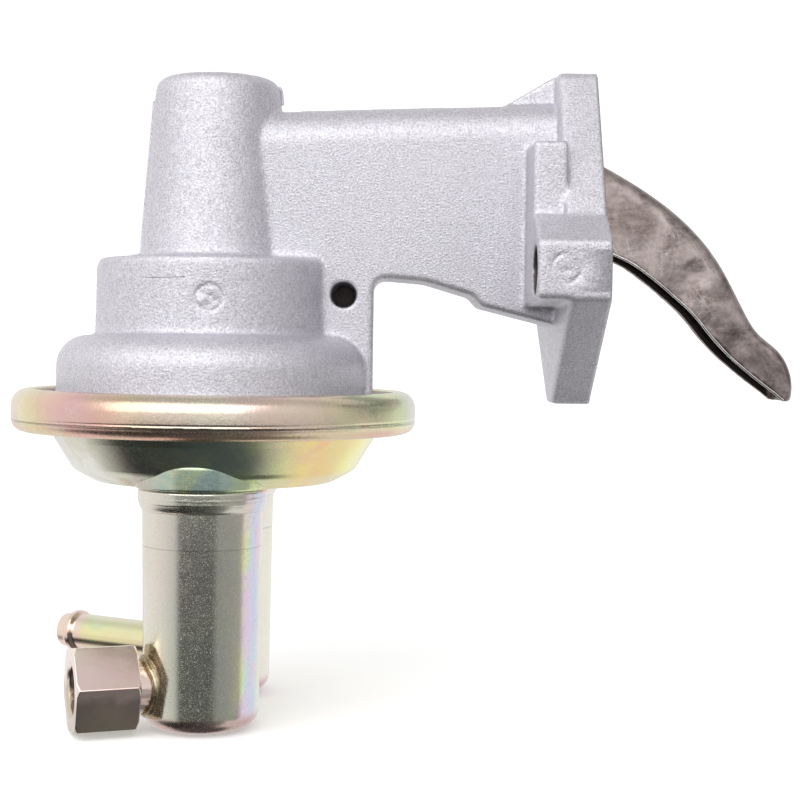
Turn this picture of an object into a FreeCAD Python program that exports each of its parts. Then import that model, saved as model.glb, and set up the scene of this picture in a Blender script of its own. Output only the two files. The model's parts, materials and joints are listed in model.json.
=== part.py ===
"""Mechanical fuel pump: cast housing on a two-bolt flange, crimped pressed steel fuel bowl with two cans.

Millimetres. The origin is the centre of the mounting face, midway between the two bolt holes.
+X is the outward normal of the mounting face, +Z points up the spring tower.
"""

import FreeCAD, Part
import math
import os

V = FreeCAD.Vector

# Main layout
PUMP_AXIS_X = -91.75
PIVOT_X = -11.2
PIVOT_Z = 21.3
RUNNING_GAP = 0.05
PRESS_GAP = 0.02
SEAT_GAP = 0.3
STACK_GAP = 0.1

# Rounds of the casting
CAST_ROUND = 1.0
SHARP_DEG = 15.0

# Spring tower and dome of the housing
TOWER_TOP_Z = 47.0
TOWER_TOP_R = 15.0
TOWER_TOP_ROUND = 3.6
TOWER_FOOT_R = 18.6
TOWER_WALL = 4.0
TOWER_BORE_R = 12.2
STEP_R = 29.2
STEP_TOP_Z = 2.6
STEP_ROUND = 1.4
STEP_FOOT_Z = -16.0
DOME_CLEAR = 5.6
DOME_ROUND = 7.6
LINK_FLOOR_Z = 4.0
LINK_FLOOR_THICK = 5.5
AIR_STEP_R = 25.0
AIR_DOME_WALL = 4.4
AIR_DOME_TOP_Z = -19.5
SEAL_BOSS_R = 10.5
SEAL_BOSS_LENGTH = 9.5

# Clamped rim: housing flange, diaphragm, bowl flange and the ring round them
RING_R = 49.3
RING_TOP_Z = -29.0
RING_HEIGHT = 10.2
RING_SHEET = 1.3
RING_TOP_LIP = 5.0
RING_FOOT_LIP = 7.0
RING_TOP_ROUND = 4.0
RING_FOOT_ROUND = 3.0
RING_SEAM_DROP = 6.2
RING_SEAM_DEPTH = 0.25
DIAPHRAGM_THICK = 1.2
BOWL_SHEET = 1.3
BOWL_RIM_ROUND = 1.1

# Bowl
BOWL_NECK_INSET = 3.4
BOWL_NECK_DROP = 3.6
BOWL_FLOOR_Z = -51.4
BOWL_CONE_INSET = 4.4
BOWL_FLOOR_INSET = 5.6
BOWL_KNEE_Z = -48.4
BOWL_FLOOR_ROUND = 4.0
POCKET_R = 16.2
POCKET_TOP_Z = -43.4
POCKET_ROUND = 3.0

# Cans
CAN_Y = 20.0
CAN_X_SHIFT = -0.9
CAN_SHEET = 1.0
CAN_COLLAR_R = 15.2
CAN_COLLAR_HEIGHT = 3.4
CAN_TOP_R = 14.2
CAN_FOOT_R = 13.5
CAN_FOOT_ROUND = 4.2
CAN_FOOT_Z = -107.8

# Outlet fitting
OUTLET_Z = -97.8
OUTLET_TURN_DEG = 18.7
OUTLET_REACH = 30.7
HEX_FLATS = 19.05
HEX_LENGTH = 14.6
HEX_TURN_DEG = 10.0
HEX_CORNER_CUT = 0.9
OUTLET_NECK_R = 6.3
OUTLET_BORE_R = 5.65
OUTLET_BORE_DEPTH = 12.0
OUTLET_SEAT_R = 3.4
OUTLET_SEAT_RISE = 1.4
OUTLET_RELIEF_R = 6.2
OUTLET_RELIEF_LENGTH = 1.8
OUTLET_MOUTH_CUT = 0.8
OUTLET_DRILL_R = 2.6

# Inlet nipple
INLET_Z = -97.1
INLET_TURN_DEG = 30.0
INLET_REACH = 50.4
NIPPLE_R = 4.75
NIPPLE_WALL = 1.0
NIPPLE_BEAD_R = 5.6
NIPPLE_BEAD_LENGTH = 3.2
NIPPLE_BEAD_INSET = 2.6
NIPPLE_INSIDE_CAN = 1.5

# Rocker housing of the casting
ARM_HALF_WIDTH = 12.0
ARM_CAVITY_HALF_WIDTH = 9.0
ARM_TOP_Z = 41.95
ARM_TOP_SLOPE_DEG = 2.4
ARM_TOP_ROUND = 8.5
WEB_X = -53.05
WEB_CORNER_ROUND = 3.0
NOTCH_TOP_Z = -1.3
ARM_STEP_X = -27.15
ARM_STEP_DROP = 6.7
ARM_FOOT_SLOPE = 0.245
ARM_WALL_TOP = 4.2
WEEP_X = -60.35
WEEP_Z = -5.6
WEEP_R = 3.1
WEEP_DEPTH = 15.5
WEEP_DRILL_R = 2.4

# Mounting flange of the casting
FLANGE_THICK = 9.4
EAR_THICK = 16.7
EAR_HALF_WIDTH = 40.0
EAR_FRONT_TOP_Z = 6.2
EAR_FRONT_FOOT_Z = -6.8
BOLT_SPACING = 65.0
BOLT_HOLE_R = 5.55
FLANGE_TOP_Z = 48.7
FLANGE_TOP_HALF_WIDTH = 10.0
FLANGE_TIP_Z = -31.4
FLANGE_TIP_HALF_WIDTH = 5.5
WINDOW_TOP_Z = 32.5
WINDOW_FOOT_Z = -2.5
EAR_TOP_HALF_WIDTH = 30.4
EAR_TOP_Z = 12.7
EAR_ROOT_Z = -8.1
EAR_ROUND = 1.2
PAD_HALF_WIDTH = 27.0
FRONT_PAD_EDGE_X = -8.75
REAR_PAD_EDGE_X = -7.0
PAD_TOP_Z = 30.2
RIB_LENGTH = 13.5
RIB_HALF_WIDTH = 4.0
GATE_NUB_R = 2.2
GATE_NUB_X = -5.5
GATE_NUB_HEIGHT = 0.8

# Rocker pivot
PIN_R = 3.2
PIN_HALF_LENGTH = 21.0
BUSHING_R = 4.8
WASHER_R = 7.5
WASHER_THICK = 0.7
PLUG_R = 3.6
PLUG_INSET = 0.5

# Rocker arm
ROCKER_HALF_WIDTH = 8.0
ROCKER_TOE_HALF_WIDTH = 7.0
ROCKER_SHEET = 2.0
ROCKER_SHOULDER_ROUND = 4.0
ROCKER_HEEL_X = -41.0
ROCKER_TOE_X = 50.1

# Link lever
LINK_THICK = 5.0
LINK_HUB_R = 7.2
LINK_BAR_HEIGHT = 6.2
FORK_HALF_WIDTH = 7.6
FORK_SLOT_HALF_WIDTH = 3.6
FORK_PAD_R = 8.0
FORK_TOP_Z = 16.5
FORK_FOOT_Z = 8.2
FORK_REACH = 7.0

# Pull rod and diaphragm
ROD_R = 3.0
ROD_TOP_Z = 24.0
ROD_COLLAR_R = 6.0
ROD_COLLAR_HEIGHT = 2.2
ROD_SHOULDER_R = 4.6
ROD_SHOULDER_HEIGHT = 2.0
ROD_END_BELOW = 1.3
SEAT_R = 11.6
SEAT_SHEET = 1.2
SEAT_RIM_HEIGHT = 2.4
DIAPHRAGM_DROP = 3.0
UPPER_CUP_INSET = 12.0
CUP_STEP = 2.0
CUP_SHEET = 1.2
CUP_RIM_HEIGHT = 2.6
RIVET_WASHER_R = 6.0
RIVET_WASHER_THICK = 1.5
DIAPHRAGM_FOLD_CLEAR = 2.5
DIAPHRAGM_FOLD_DEPTH = 3.0

# Rod seal
SEAL_R = 8.0
SEAL_LIP_GAP = 0.08
SEAL_THICK = 5.8
SEAL_POCKET_TOP_Z = -4.2
RETAINER_THICK = 1.4
RETAINER_HOLE_R = 4.4

# Springs
TOWER_SPRING_R = 9.1
TOWER_SPRING_WIRE_R = 1.1
TOWER_SPRING_TURNS = 5
HEEL_SPRING_X = -33.5
HEEL_SPRING_R = 4.8
HEEL_SPRING_WIRE_R = 0.75
HEEL_SPRING_TURNS = 4
HEEL_SEAT_R = 5.8
HEEL_SEAT_Z = 23.4

# Valves
VALVE_BODY_R = 10.0
VALVE_FLANGE_R = 11.4
VALVE_FLANGE_THICK = 1.2
VALVE_BODY_THICK = 3.4
VALVE_PORT_R = 1.6
VALVE_PORT_CIRCLE_R = 4.6
VALVE_PORTS = 6
VALVE_STEM_R = 1.2
VALVE_STEM_GAP = 0.08
VALVE_STEM_HEAD_R = 3.4
VALVE_STEM_HEAD_THICK = 0.8
VALVE_DISC_R = 7.2
VALVE_DISC_THICK = 1.0
VALVE_DISC_GAP = 0.1
VALVE_SPRING_LENGTH = 3.6
VALVE_SPRING_R = 2.7
VALVE_SPRING_WIRE_R = 0.3
VALVE_SPRING_TURNS = 3

# Levels that follow from the stack of the clamped rim
RIM_TOP_Z = RING_TOP_Z - RING_SHEET - STACK_GAP
RING_FOOT_Z = RING_TOP_Z - RING_HEIGHT
RIM_FOOT_Z = RING_FOOT_Z + RING_SHEET
BOWL_RIM_TOP_Z = RIM_FOOT_Z + BOWL_SHEET
DIAPHRAGM_RIM_TOP_Z = BOWL_RIM_TOP_Z + DIAPHRAGM_THICK
RIM_R = RING_R - RING_SHEET - STACK_GAP
RING_LIP_R = RING_R - RING_TOP_LIP
RING_FOOT_R = RING_R - RING_FOOT_LIP
DOME_R = RING_LIP_R - DOME_CLEAR
AIR_DOME_R = DOME_R - AIR_DOME_WALL
BOWL_NECK_R = RING_FOOT_R - BOWL_NECK_INSET
BOWL_KNEE_R = BOWL_NECK_R - BOWL_CONE_INSET
DIAPHRAGM_FOLD_OUT_R = AIR_DOME_R + 3.0
UPPER_CUP_R = DIAPHRAGM_FOLD_OUT_R - UPPER_CUP_INSET
LOWER_CUP_R = UPPER_CUP_R - CUP_STEP
DIAPHRAGM_FOLD_IN_R = UPPER_CUP_R + DIAPHRAGM_FOLD_CLEAR
AIR_STEP_TOP_Z = LINK_FLOOR_Z - LINK_FLOOR_THICK
DIAPHRAGM_TOP_Z = DIAPHRAGM_RIM_TOP_Z - DIAPHRAGM_DROP
DIAPHRAGM_FOOT_Z = DIAPHRAGM_TOP_Z - DIAPHRAGM_THICK
COLLAR_FOOT_Z = FORK_TOP_Z + SEAT_GAP
COLLAR_TOP_Z = COLLAR_FOOT_Z + ROD_COLLAR_HEIGHT
CAN_X = PUMP_AXIS_X + CAN_X_SHIFT
FRONT_CAN_Y = -CAN_Y
REAR_CAN_Y = CAN_Y


def rounded_outline(corners, place):
    """A closed wire through corners (u, v) or (u, v, radius); place turns (u, v) into a point in space."""
    count = len(corners)
    trims = []
    for i in range(count):
        u, v = corners[i][:2]
        radius = corners[i][2] if len(corners[i]) > 2 else 0.0
        before = V(corners[i - 1][0] - u, corners[i - 1][1] - v, 0)
        after = V(corners[(i + 1) % count][0] - u, corners[(i + 1) % count][1] - v, 0)
        here = V(u, v, 0)
        if radius == 0.0:
            trims.append((here, None, here))
            continue
        before.normalize()
        after.normalize()
        half = before.getAngle(after) / 2
        reach = radius / math.tan(half)
        middle = before + after
        middle.normalize()
        centre = here + middle * (radius / math.sin(half))
        trims.append((here + before * reach, centre - middle * radius, here + after * reach))
    edges = []
    for i in range(count):
        start, mid, end = trims[i]
        if mid is not None:
            edges.append(Part.Arc(place(start), place(mid), place(end)).toShape())
        following = trims[(i + 1) % count][0]
        if (following - end).Length > 1e-6:
            edges.append(Part.LineSegment(place(end), place(following)).toShape())
    return Part.Wire(edges)


def turned(corners, x=PUMP_AXIS_X, y=0.0):
    """Solid of revolution about the vertical line through (x, y); corners are (radius, z[, round])."""
    wire = rounded_outline(corners, lambda p: V(x + p.x, y, p.y))
    return Part.Face(wire).revolve(V(x, y, 0), V(0, 0, 1), 360)


def side_plate(corners, y_from, y_to):
    """Plate with a side outline of (x, z[, round]) between two y values."""
    wire = rounded_outline(corners, lambda p: V(p.x, y_from, p.y))
    return Part.Face(wire).extrude(V(0, y_to - y_from, 0))


def end_plate(corners, x_from, x_to):
    """Plate with an end outline of (y, z[, round]) between two x values."""
    wire = rounded_outline(corners, lambda p: V(x_from, p.x, p.y))
    return Part.Face(wire).extrude(V(x_to - x_from, 0, 0))


def box(x0, x1, y0, y1, z0, z1):
    return Part.makeBox(x1 - x0, y1 - y0, z1 - z0, V(x0, y0, z0))


def rod(radius, start, end):
    return Part.makeCylinder(radius, (end - start).Length, start, end - start)


def mirrored_outline(right_side):
    """Outline that is the same on both sides of v: right_side runs from the top to the foot."""
    left_side = [(-c[0],) + tuple(c[1:]) for c in reversed(right_side)]
    return right_side + left_side


def one_solid(shape):
    shape = shape.removeSplitter()
    solids = shape.Solids
    if len(solids) != 1:
        raise ValueError("expected one solid, found %d" % len(solids))
    return solids[0]


def coil(mean_r, wire_r, foot, top, turns, x, y):
    """Compression spring: half turns of round wire, each tilted so that it climbs half the pitch."""
    rise = (top - foot - 2 * wire_r) / (2 * turns)
    half_turns = []
    for i in range(2 * turns):
        side = 1 if i % 2 == 0 else -1
        start = V(x + side * mean_r, y, foot + wire_r + i * rise)
        end = V(x - side * mean_r, y, foot + wire_r + (i + 1) * rise)
        axis = V(0, 1, 0).cross(end - start) * -side
        section = Part.Face(Part.Wire(Part.makeCircle(wire_r, start, V(0, 1, 0))))
        half_turns.append(section.revolve((start + end) / 2, axis, 180))
    return one_solid(half_turns[0].fuse(half_turns[1:]))


# Housing casting

def housing_body():
    """Tower, step, dome and clamped rim, all turned about the pump axis."""
    return turned([
        (0, TOWER_TOP_Z),
        (TOWER_TOP_R, TOWER_TOP_Z, TOWER_TOP_ROUND),
        (TOWER_FOOT_R, STEP_TOP_Z + 0.4, STEP_ROUND),
        (STEP_R - 0.4, STEP_TOP_Z, STEP_ROUND),
        (STEP_R, STEP_FOOT_Z, STEP_ROUND),
        (DOME_R, STEP_FOOT_Z, DOME_ROUND),
        (DOME_R, RIM_TOP_Z),
        (RIM_R, RIM_TOP_Z, RING_TOP_ROUND - RING_SHEET),
        (RIM_R, DIAPHRAGM_RIM_TOP_Z),
        (0, DIAPHRAGM_RIM_TOP_Z),
    ])


def arm_underside(x):
    """Level of the rocker housing's sloping underside near the flange."""
    return NOTCH_TOP_Z - ARM_STEP_DROP - ARM_FOOT_SLOPE * (x - ARM_STEP_X)


def rocker_housing():
    """The box with a rounded top that runs from the tower to the flange, with the web below it."""
    side = side_plate([
        (PUMP_AXIS_X, 60.0),
        (-FLANGE_THICK + 1.0, 60.0),
        (-FLANGE_THICK + 1.0, arm_underside(-FLANGE_THICK + 1.0)),
        (ARM_STEP_X, arm_underside(ARM_STEP_X), 1.6),
        (ARM_STEP_X - 2.2, NOTCH_TOP_Z - 4.2, 1.6),
        (WEB_X + 12.3, NOTCH_TOP_Z - 0.9, 8.0),
        (WEB_X, NOTCH_TOP_Z, WEB_CORNER_ROUND),
        (WEB_X, RIM_TOP_Z - 0.5),
        (PUMP_AXIS_X, RIM_TOP_Z - 0.5),
    ], -ARM_HALF_WIDTH, ARM_HALF_WIDTH)
    slope = math.tan(math.radians(ARM_TOP_SLOPE_DEG))
    top_at_axis = ARM_TOP_Z + slope * PUMP_AXIS_X
    wire = rounded_outline([
        (ARM_HALF_WIDTH, top_at_axis, ARM_TOP_ROUND),
        (ARM_HALF_WIDTH, -45.0),
        (-ARM_HALF_WIDTH, -45.0),
        (-ARM_HALF_WIDTH, top_at_axis, ARM_TOP_ROUND),
    ], lambda p: V(PUMP_AXIS_X, p.x, p.y))
    section = Part.Face(wire).extrude(V(-PUMP_AXIS_X, 0, -slope * PUMP_AXIS_X))
    return side.common(section)


FLANGE_SIDE = [
    (FLANGE_TOP_HALF_WIDTH, FLANGE_TOP_Z, 4.0),
    (EAR_TOP_HALF_WIDTH, EAR_TOP_Z, 2.0),
    (EAR_HALF_WIDTH, EAR_FRONT_TOP_Z, EAR_ROUND),
    (EAR_HALF_WIDTH, EAR_FRONT_FOOT_Z, EAR_ROUND),
    (FLANGE_TIP_HALF_WIDTH + 3.5, FLANGE_TIP_Z + 2.8, 3.0),
    (FLANGE_TIP_HALF_WIDTH, FLANGE_TIP_Z, 2.0),
]


def mounting_flange():
    """Shield-shaped plate with the thick bolt ears, the pin pads, the top rib and the gate nub."""
    plate = end_plate(mirrored_outline(FLANGE_SIDE), -FLANGE_THICK, 0.0)
    back_edges = [edge for edge in plate.Edges if edge.BoundBox.XMax < -FLANGE_THICK / 2]
    plate = plate.makeFillet(CAST_ROUND, back_edges)
    pads = [end_plate([
        (0.0, PAD_TOP_Z),
        (side * PAD_HALF_WIDTH, PAD_TOP_Z, CAST_ROUND),
        (side * PAD_HALF_WIDTH, EAR_TOP_Z - 2.0),
        (0.0, EAR_TOP_Z - 2.0),
    ], -EAR_THICK, edge_x) for side, edge_x in ((-1, FRONT_PAD_EDGE_X), (1, REAR_PAD_EDGE_X))]
    ears = end_plate(mirrored_outline([
        (EAR_TOP_HALF_WIDTH, EAR_TOP_Z, 2.0),
        (EAR_HALF_WIDTH, EAR_FRONT_TOP_Z, EAR_ROUND),
        (EAR_HALF_WIDTH, EAR_FRONT_FOOT_Z, EAR_ROUND),
        (ARM_HALF_WIDTH - 2.0, EAR_ROOT_Z),
    ]), -EAR_THICK, -FLANGE_THICK + 1.0)
    rib = side_plate([
        (-FLANGE_THICK + 1.0, FLANGE_TOP_Z - 0.3),
        (-FLANGE_THICK - 0.4, FLANGE_TOP_Z - 0.3),
        (-FLANGE_THICK - RIB_LENGTH, ARM_TOP_Z - 1.4),
        (-FLANGE_THICK - RIB_LENGTH, ARM_TOP_Z - 4.0),
        (-FLANGE_THICK + 1.0, ARM_TOP_Z - 4.0),
    ], -RIB_HALF_WIDTH, RIB_HALF_WIDTH)
    nub = rod(GATE_NUB_R, V(GATE_NUB_X, 0, FLANGE_TOP_Z - 1.0), V(GATE_NUB_X, 0, FLANGE_TOP_Z + GATE_NUB_HEIGHT))
    return [plate, ears, rib, nub] + pads


def edges_to_round(body):
    """Sharp edges of the tower, the rocker housing and the ears: not those of the flange plate or the rim."""
    chosen = []
    for edge in body.Edges:
        faces = body.ancestorsOfType(edge, Part.Face)
        middle = edge.valueAt((edge.FirstParameter + edge.LastParameter) / 2)
        if len(faces) != 2 or middle.x > -FLANGE_THICK - 0.3 or middle.z < RIM_TOP_Z + 0.1:
            continue
        if abs(middle.y) < RIB_HALF_WIDTH + 0.1 and middle.z > ARM_TOP_Z - 2.0:
            continue
        normals = [face.normalAt(*face.Surface.parameter(middle)) for face in faces]
        if math.degrees(normals[0].getAngle(normals[1])) > SHARP_DEG:
            chosen.append(edge)
    return chosen


def upper_housing():
    body = housing_body().fuse([rocker_housing()] + mounting_flange()).removeSplitter()
    body = body.makeFillet(CAST_ROUND, edges_to_round(body))
    slope = math.tan(math.radians(ARM_TOP_SLOPE_DEG))
    roof = ARM_TOP_Z - ARM_WALL_TOP
    tower_bore = turned([
        (0, TOWER_TOP_Z - TOWER_WALL),
        (TOWER_BORE_R, TOWER_TOP_Z - TOWER_WALL, 2.0),
        (TOWER_BORE_R, LINK_FLOOR_Z),
        (0, LINK_FLOOR_Z),
    ])
    arm_cavity = side_plate([
        (1.0, WINDOW_TOP_Z),
        (-FLANGE_THICK, WINDOW_TOP_Z),
        (-FLANGE_THICK - 5.0, roof + slope * (-FLANGE_THICK - 5.0)),
        (PUMP_AXIS_X, roof + slope * PUMP_AXIS_X),
        (PUMP_AXIS_X, LINK_FLOOR_Z),
        (WEB_X - 4.0, LINK_FLOOR_Z, 4.0),
        (ARM_STEP_X - 3.0, WINDOW_FOOT_Z + 1.5, 6.0),
        (-FLANGE_THICK, WINDOW_FOOT_Z),
        (1.0, WINDOW_FOOT_Z),
    ], -ARM_CAVITY_HALF_WIDTH, ARM_CAVITY_HALF_WIDTH)
    air_chamber = turned([
        (SEAL_BOSS_R, AIR_STEP_TOP_Z),
        (AIR_STEP_R, AIR_STEP_TOP_Z, 2.0),
        (AIR_STEP_R, AIR_DOME_TOP_Z, 1.5),
        (AIR_DOME_R, AIR_DOME_TOP_Z, 5.0),
        (DIAPHRAGM_FOLD_OUT_R, DIAPHRAGM_RIM_TOP_Z),
        (0, DIAPHRAGM_RIM_TOP_Z),
        (0, AIR_STEP_TOP_Z - SEAL_BOSS_LENGTH),
        (SEAL_BOSS_R, AIR_STEP_TOP_Z - SEAL_BOSS_LENGTH),
    ])
    seal_pocket = rod(SEAL_R + PRESS_GAP,
                      V(PUMP_AXIS_X, 0, AIR_STEP_TOP_Z - SEAL_BOSS_LENGTH), V(PUMP_AXIS_X, 0, SEAL_POCKET_TOP_Z))
    rod_guide = rod(ROD_R + RUNNING_GAP, V(PUMP_AXIS_X, 0, SEAL_POCKET_TOP_Z), V(PUMP_AXIS_X, 0, LINK_FLOOR_Z))
    weep = rod(WEEP_R, V(WEEP_X, -ARM_HALF_WIDTH, WEEP_Z), V(WEEP_X, WEEP_DEPTH - ARM_HALF_WIDTH, WEEP_Z))
    weep_drill = rod(WEEP_DRILL_R, V(WEEP_X, WEEP_DEPTH - ARM_HALF_WIDTH - WEEP_R, WEEP_Z),
                     V(WEEP_X, WEEP_DEPTH - ARM_HALF_WIDTH - WEEP_R, AIR_DOME_TOP_Z - 6.0))
    pin_bore = rod(PIN_R + PRESS_GAP, V(PIVOT_X, -PIN_HALF_LENGTH - 0.5, PIVOT_Z),
                   V(PIVOT_X, PAD_HALF_WIDTH, PIVOT_Z))
    plug_bore = rod(PLUG_R + PRESS_GAP, V(PIVOT_X, PIN_HALF_LENGTH + 0.5, PIVOT_Z),
                    V(PIVOT_X, PAD_HALF_WIDTH, PIVOT_Z))
    cuts = [tower_bore, arm_cavity, air_chamber, seal_pocket, rod_guide, weep, weep_drill, pin_bore, plug_bore]
    for side in (-1, 1):
        y = side * BOLT_SPACING / 2
        cuts.append(rod(BOLT_HOLE_R, V(-EAR_THICK - 1, y, 0), V(1, y, 0)))
    return one_solid(body.cut(cuts))


# Clamped ring, bowl and cans

def crimp_ring():
    """Rolled ring of C section with a rounded shoulder, a seam line and two inward lips."""
    low = RING_FOOT_Z
    high = RING_TOP_Z
    sheet = RING_SHEET
    seam = high - RING_SEAM_DROP
    return one_solid(turned([
        (RING_LIP_R, high - sheet),
        (RING_LIP_R, high, 0.5),
        (RING_R, high, RING_TOP_ROUND),
        (RING_R, seam + RING_SEAM_DEPTH),
        (RING_R - RING_SEAM_DEPTH, seam),
        (RING_R, seam - RING_SEAM_DEPTH),
        (RING_R, low, RING_FOOT_ROUND),
        (RING_FOOT_R, low, 0.5),
        (RING_FOOT_R, low + sheet),
        (RING_R - sheet, low + sheet, BOWL_RIM_ROUND),
        (RING_R - sheet, high - sheet, RING_TOP_ROUND - sheet),
    ]))


def fuel_cover():
    """Pressed bowl: flat rim under the diaphragm, conical side, flat floor and a round pocket over each can."""
    sheet = BOWL_SHEET
    neck_z = BOWL_RIM_TOP_Z - BOWL_NECK_DROP
    outside = turned([
        (0, BOWL_RIM_TOP_Z),
        (RIM_R, BOWL_RIM_TOP_Z),
        (RIM_R, RIM_FOOT_Z, BOWL_RIM_ROUND),
        (BOWL_NECK_R + 1.8, RIM_FOOT_Z, 1.0),
        (BOWL_NECK_R, neck_z - 1.0, 1.0),
        (BOWL_KNEE_R, BOWL_KNEE_Z, 4.0),
        (BOWL_KNEE_R - BOWL_FLOOR_INSET, BOWL_FLOOR_Z, BOWL_FLOOR_ROUND),
        (0, BOWL_FLOOR_Z),
    ])
    inside = turned([
        (0, BOWL_RIM_TOP_Z + 1.0),
        (BOWL_NECK_R + 0.6, BOWL_RIM_TOP_Z + 1.0),
        (BOWL_NECK_R + 0.6, BOWL_RIM_TOP_Z - 0.2, 1.0),
        (BOWL_NECK_R - sheet, neck_z - 0.8, 2.0),
        (BOWL_KNEE_R - sheet - 0.1, BOWL_KNEE_Z + 0.4, 3.0),
        (BOWL_KNEE_R - BOWL_FLOOR_INSET - sheet / 2, BOWL_FLOOR_Z + sheet, BOWL_FLOOR_ROUND - sheet),
        (0, BOWL_FLOOR_Z + sheet),
    ])
    holes = []
    for y in (FRONT_CAN_Y, REAR_CAN_Y):
        outside = outside.fuse(turned([
            (0, POCKET_TOP_Z),
            (POCKET_R, POCKET_TOP_Z, POCKET_ROUND),
            (POCKET_R, BOWL_FLOOR_Z, 0.6),
            (0, BOWL_FLOOR_Z),
        ], x=CAN_X, y=y))
        inside = inside.fuse(turned([
            (0, POCKET_TOP_Z - sheet),
            (POCKET_R - sheet, POCKET_TOP_Z - sheet, POCKET_ROUND - sheet),
            (POCKET_R - sheet, BOWL_FLOOR_Z + sheet),
            (0, BOWL_FLOOR_Z + sheet),
        ], x=CAN_X, y=y))
        holes.append(rod(VALVE_BODY_R + PRESS_GAP, V(CAN_X, y, BOWL_FLOOR_Z - 1),
                         V(CAN_X, y, BOWL_FLOOR_Z + 5)))
    return one_solid(outside.cut([inside] + holes))


def can(y):
    """Deep-drawn can with a collar under the bowl, a slight taper and a rounded foot."""
    sheet = CAN_SHEET
    collar_z = BOWL_FLOOR_Z - CAN_COLLAR_HEIGHT
    return turned([
        (CAN_TOP_R - sheet, BOWL_FLOOR_Z),
        (CAN_COLLAR_R, BOWL_FLOOR_Z, 0.8),
        (CAN_COLLAR_R, collar_z, 0.8),
        (CAN_TOP_R, collar_z - 0.8, 0.4),
        (CAN_FOOT_R, CAN_FOOT_Z, CAN_FOOT_ROUND),
        (0, CAN_FOOT_Z),
        (0, CAN_FOOT_Z + sheet),
        (CAN_FOOT_R - sheet, CAN_FOOT_Z + sheet, CAN_FOOT_ROUND - sheet),
    ], x=CAN_X, y=y)


def side_port(radius, z, y, turn_deg, reach, start=0.0):
    """Round bar that leaves a can's axis to the left, turned about the vertical."""
    way = V(-math.cos(math.radians(turn_deg)), math.sin(math.radians(turn_deg)), 0)
    centre = V(CAN_X, y, z)
    return rod(radius, centre + way * start, centre + way * reach)


def outlet_can():
    hole = side_port(OUTLET_NECK_R + PRESS_GAP, OUTLET_Z, FRONT_CAN_Y, -OUTLET_TURN_DEG, CAN_TOP_R + 2)
    return one_solid(can(FRONT_CAN_Y).cut(hole))


def inlet_can():
    hole = side_port(NIPPLE_R + PRESS_GAP, INLET_Z, REAR_CAN_Y, INLET_TURN_DEG, CAN_TOP_R + 2)
    return one_solid(can(REAR_CAN_Y).cut(hole))


def along_port(shape, z, y, turn_deg):
    """Turns a shape made along +X from the origin so that it leaves the can to the left."""
    shape.rotate(V(0, 0, 0), V(0, 0, 1), 180 - turn_deg)
    shape.translate(V(CAN_X, y, z))
    return shape


def turned_x(corners):
    """Solid of revolution about the X axis; corners are (x, radius[, round])."""
    wire = rounded_outline(corners, lambda p: V(p.x, 0, p.y))
    return Part.Face(wire).revolve(V(0, 0, 0), V(1, 0, 0), 360)


def outlet_fitting():
    """Hexagonal female flare fitting: flats above and below, a cone seat at the bottom of its bore."""
    corner_r = HEX_FLATS / 2 / math.cos(math.radians(30))
    start = OUTLET_REACH - HEX_LENGTH
    corners = [math.radians(60 * i + HEX_TURN_DEG) for i in range(7)]
    points = [V(start, corner_r * math.cos(a), corner_r * math.sin(a)) for a in corners]
    prism = Part.Face(Part.makePolygon(points)).extrude(V(HEX_LENGTH, 0, 0))
    barrel = turned_x([
        (start, 0),
        (start, corner_r - HEX_CORNER_CUT),
        (start + HEX_CORNER_CUT * 0.7, corner_r),
        (OUTLET_REACH - HEX_CORNER_CUT * 0.7, corner_r),
        (OUTLET_REACH, corner_r - HEX_CORNER_CUT),
        (OUTLET_REACH, 0),
    ])
    neck_start = CAN_FOOT_R - CAN_SHEET - 1.2
    neck = rod(OUTLET_NECK_R, V(neck_start, 0, 0), V(start + 1, 0, 0))
    bore_foot = OUTLET_REACH - OUTLET_BORE_DEPTH
    bore = turned_x([
        (neck_start - 1, 0),
        (neck_start - 1, OUTLET_DRILL_R),
        (bore_foot + OUTLET_SEAT_RISE, OUTLET_DRILL_R),
        (bore_foot, OUTLET_SEAT_R + OUTLET_SEAT_RISE / 2),
        (bore_foot, OUTLET_RELIEF_R),
        (bore_foot + OUTLET_RELIEF_LENGTH, OUTLET_RELIEF_R),
        (bore_foot + OUTLET_RELIEF_LENGTH, OUTLET_BORE_R),
        (OUTLET_REACH - OUTLET_MOUTH_CUT, OUTLET_BORE_R),
        (OUTLET_REACH, OUTLET_BORE_R + OUTLET_MOUTH_CUT),
        (OUTLET_REACH + 1, OUTLET_BORE_R + OUTLET_MOUTH_CUT),
        (OUTLET_REACH + 1, 0),
    ])
    fitting = prism.common(barrel).fuse(neck).cut(bore)
    return one_solid(along_port(fitting, OUTLET_Z, FRONT_CAN_Y, -OUTLET_TURN_DEG))


def inlet_nipple():
    """Tube with a rolled hose bead near its open end."""
    start = CAN_FOOT_R - CAN_SHEET - NIPPLE_INSIDE_CAN
    bead_end = INLET_REACH - NIPPLE_BEAD_INSET
    bead_start = bead_end - NIPPLE_BEAD_LENGTH
    tube = turned_x([
        (start, NIPPLE_R - NIPPLE_WALL),
        (start, NIPPLE_R),
        (bead_start, NIPPLE_R, 0.8),
        (bead_start + 0.9, NIPPLE_BEAD_R, 0.6),
        (bead_end - 0.9, NIPPLE_BEAD_R, 0.6),
        (bead_end, NIPPLE_R, 0.8),
        (INLET_REACH, NIPPLE_R - 0.3, 0.3),
        (INLET_REACH, NIPPLE_R - NIPPLE_WALL),
    ])
    return one_solid(along_port(tube, INLET_Z, REAR_CAN_Y, INLET_TURN_DEG))


# Rocker, link and their pivot

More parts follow.
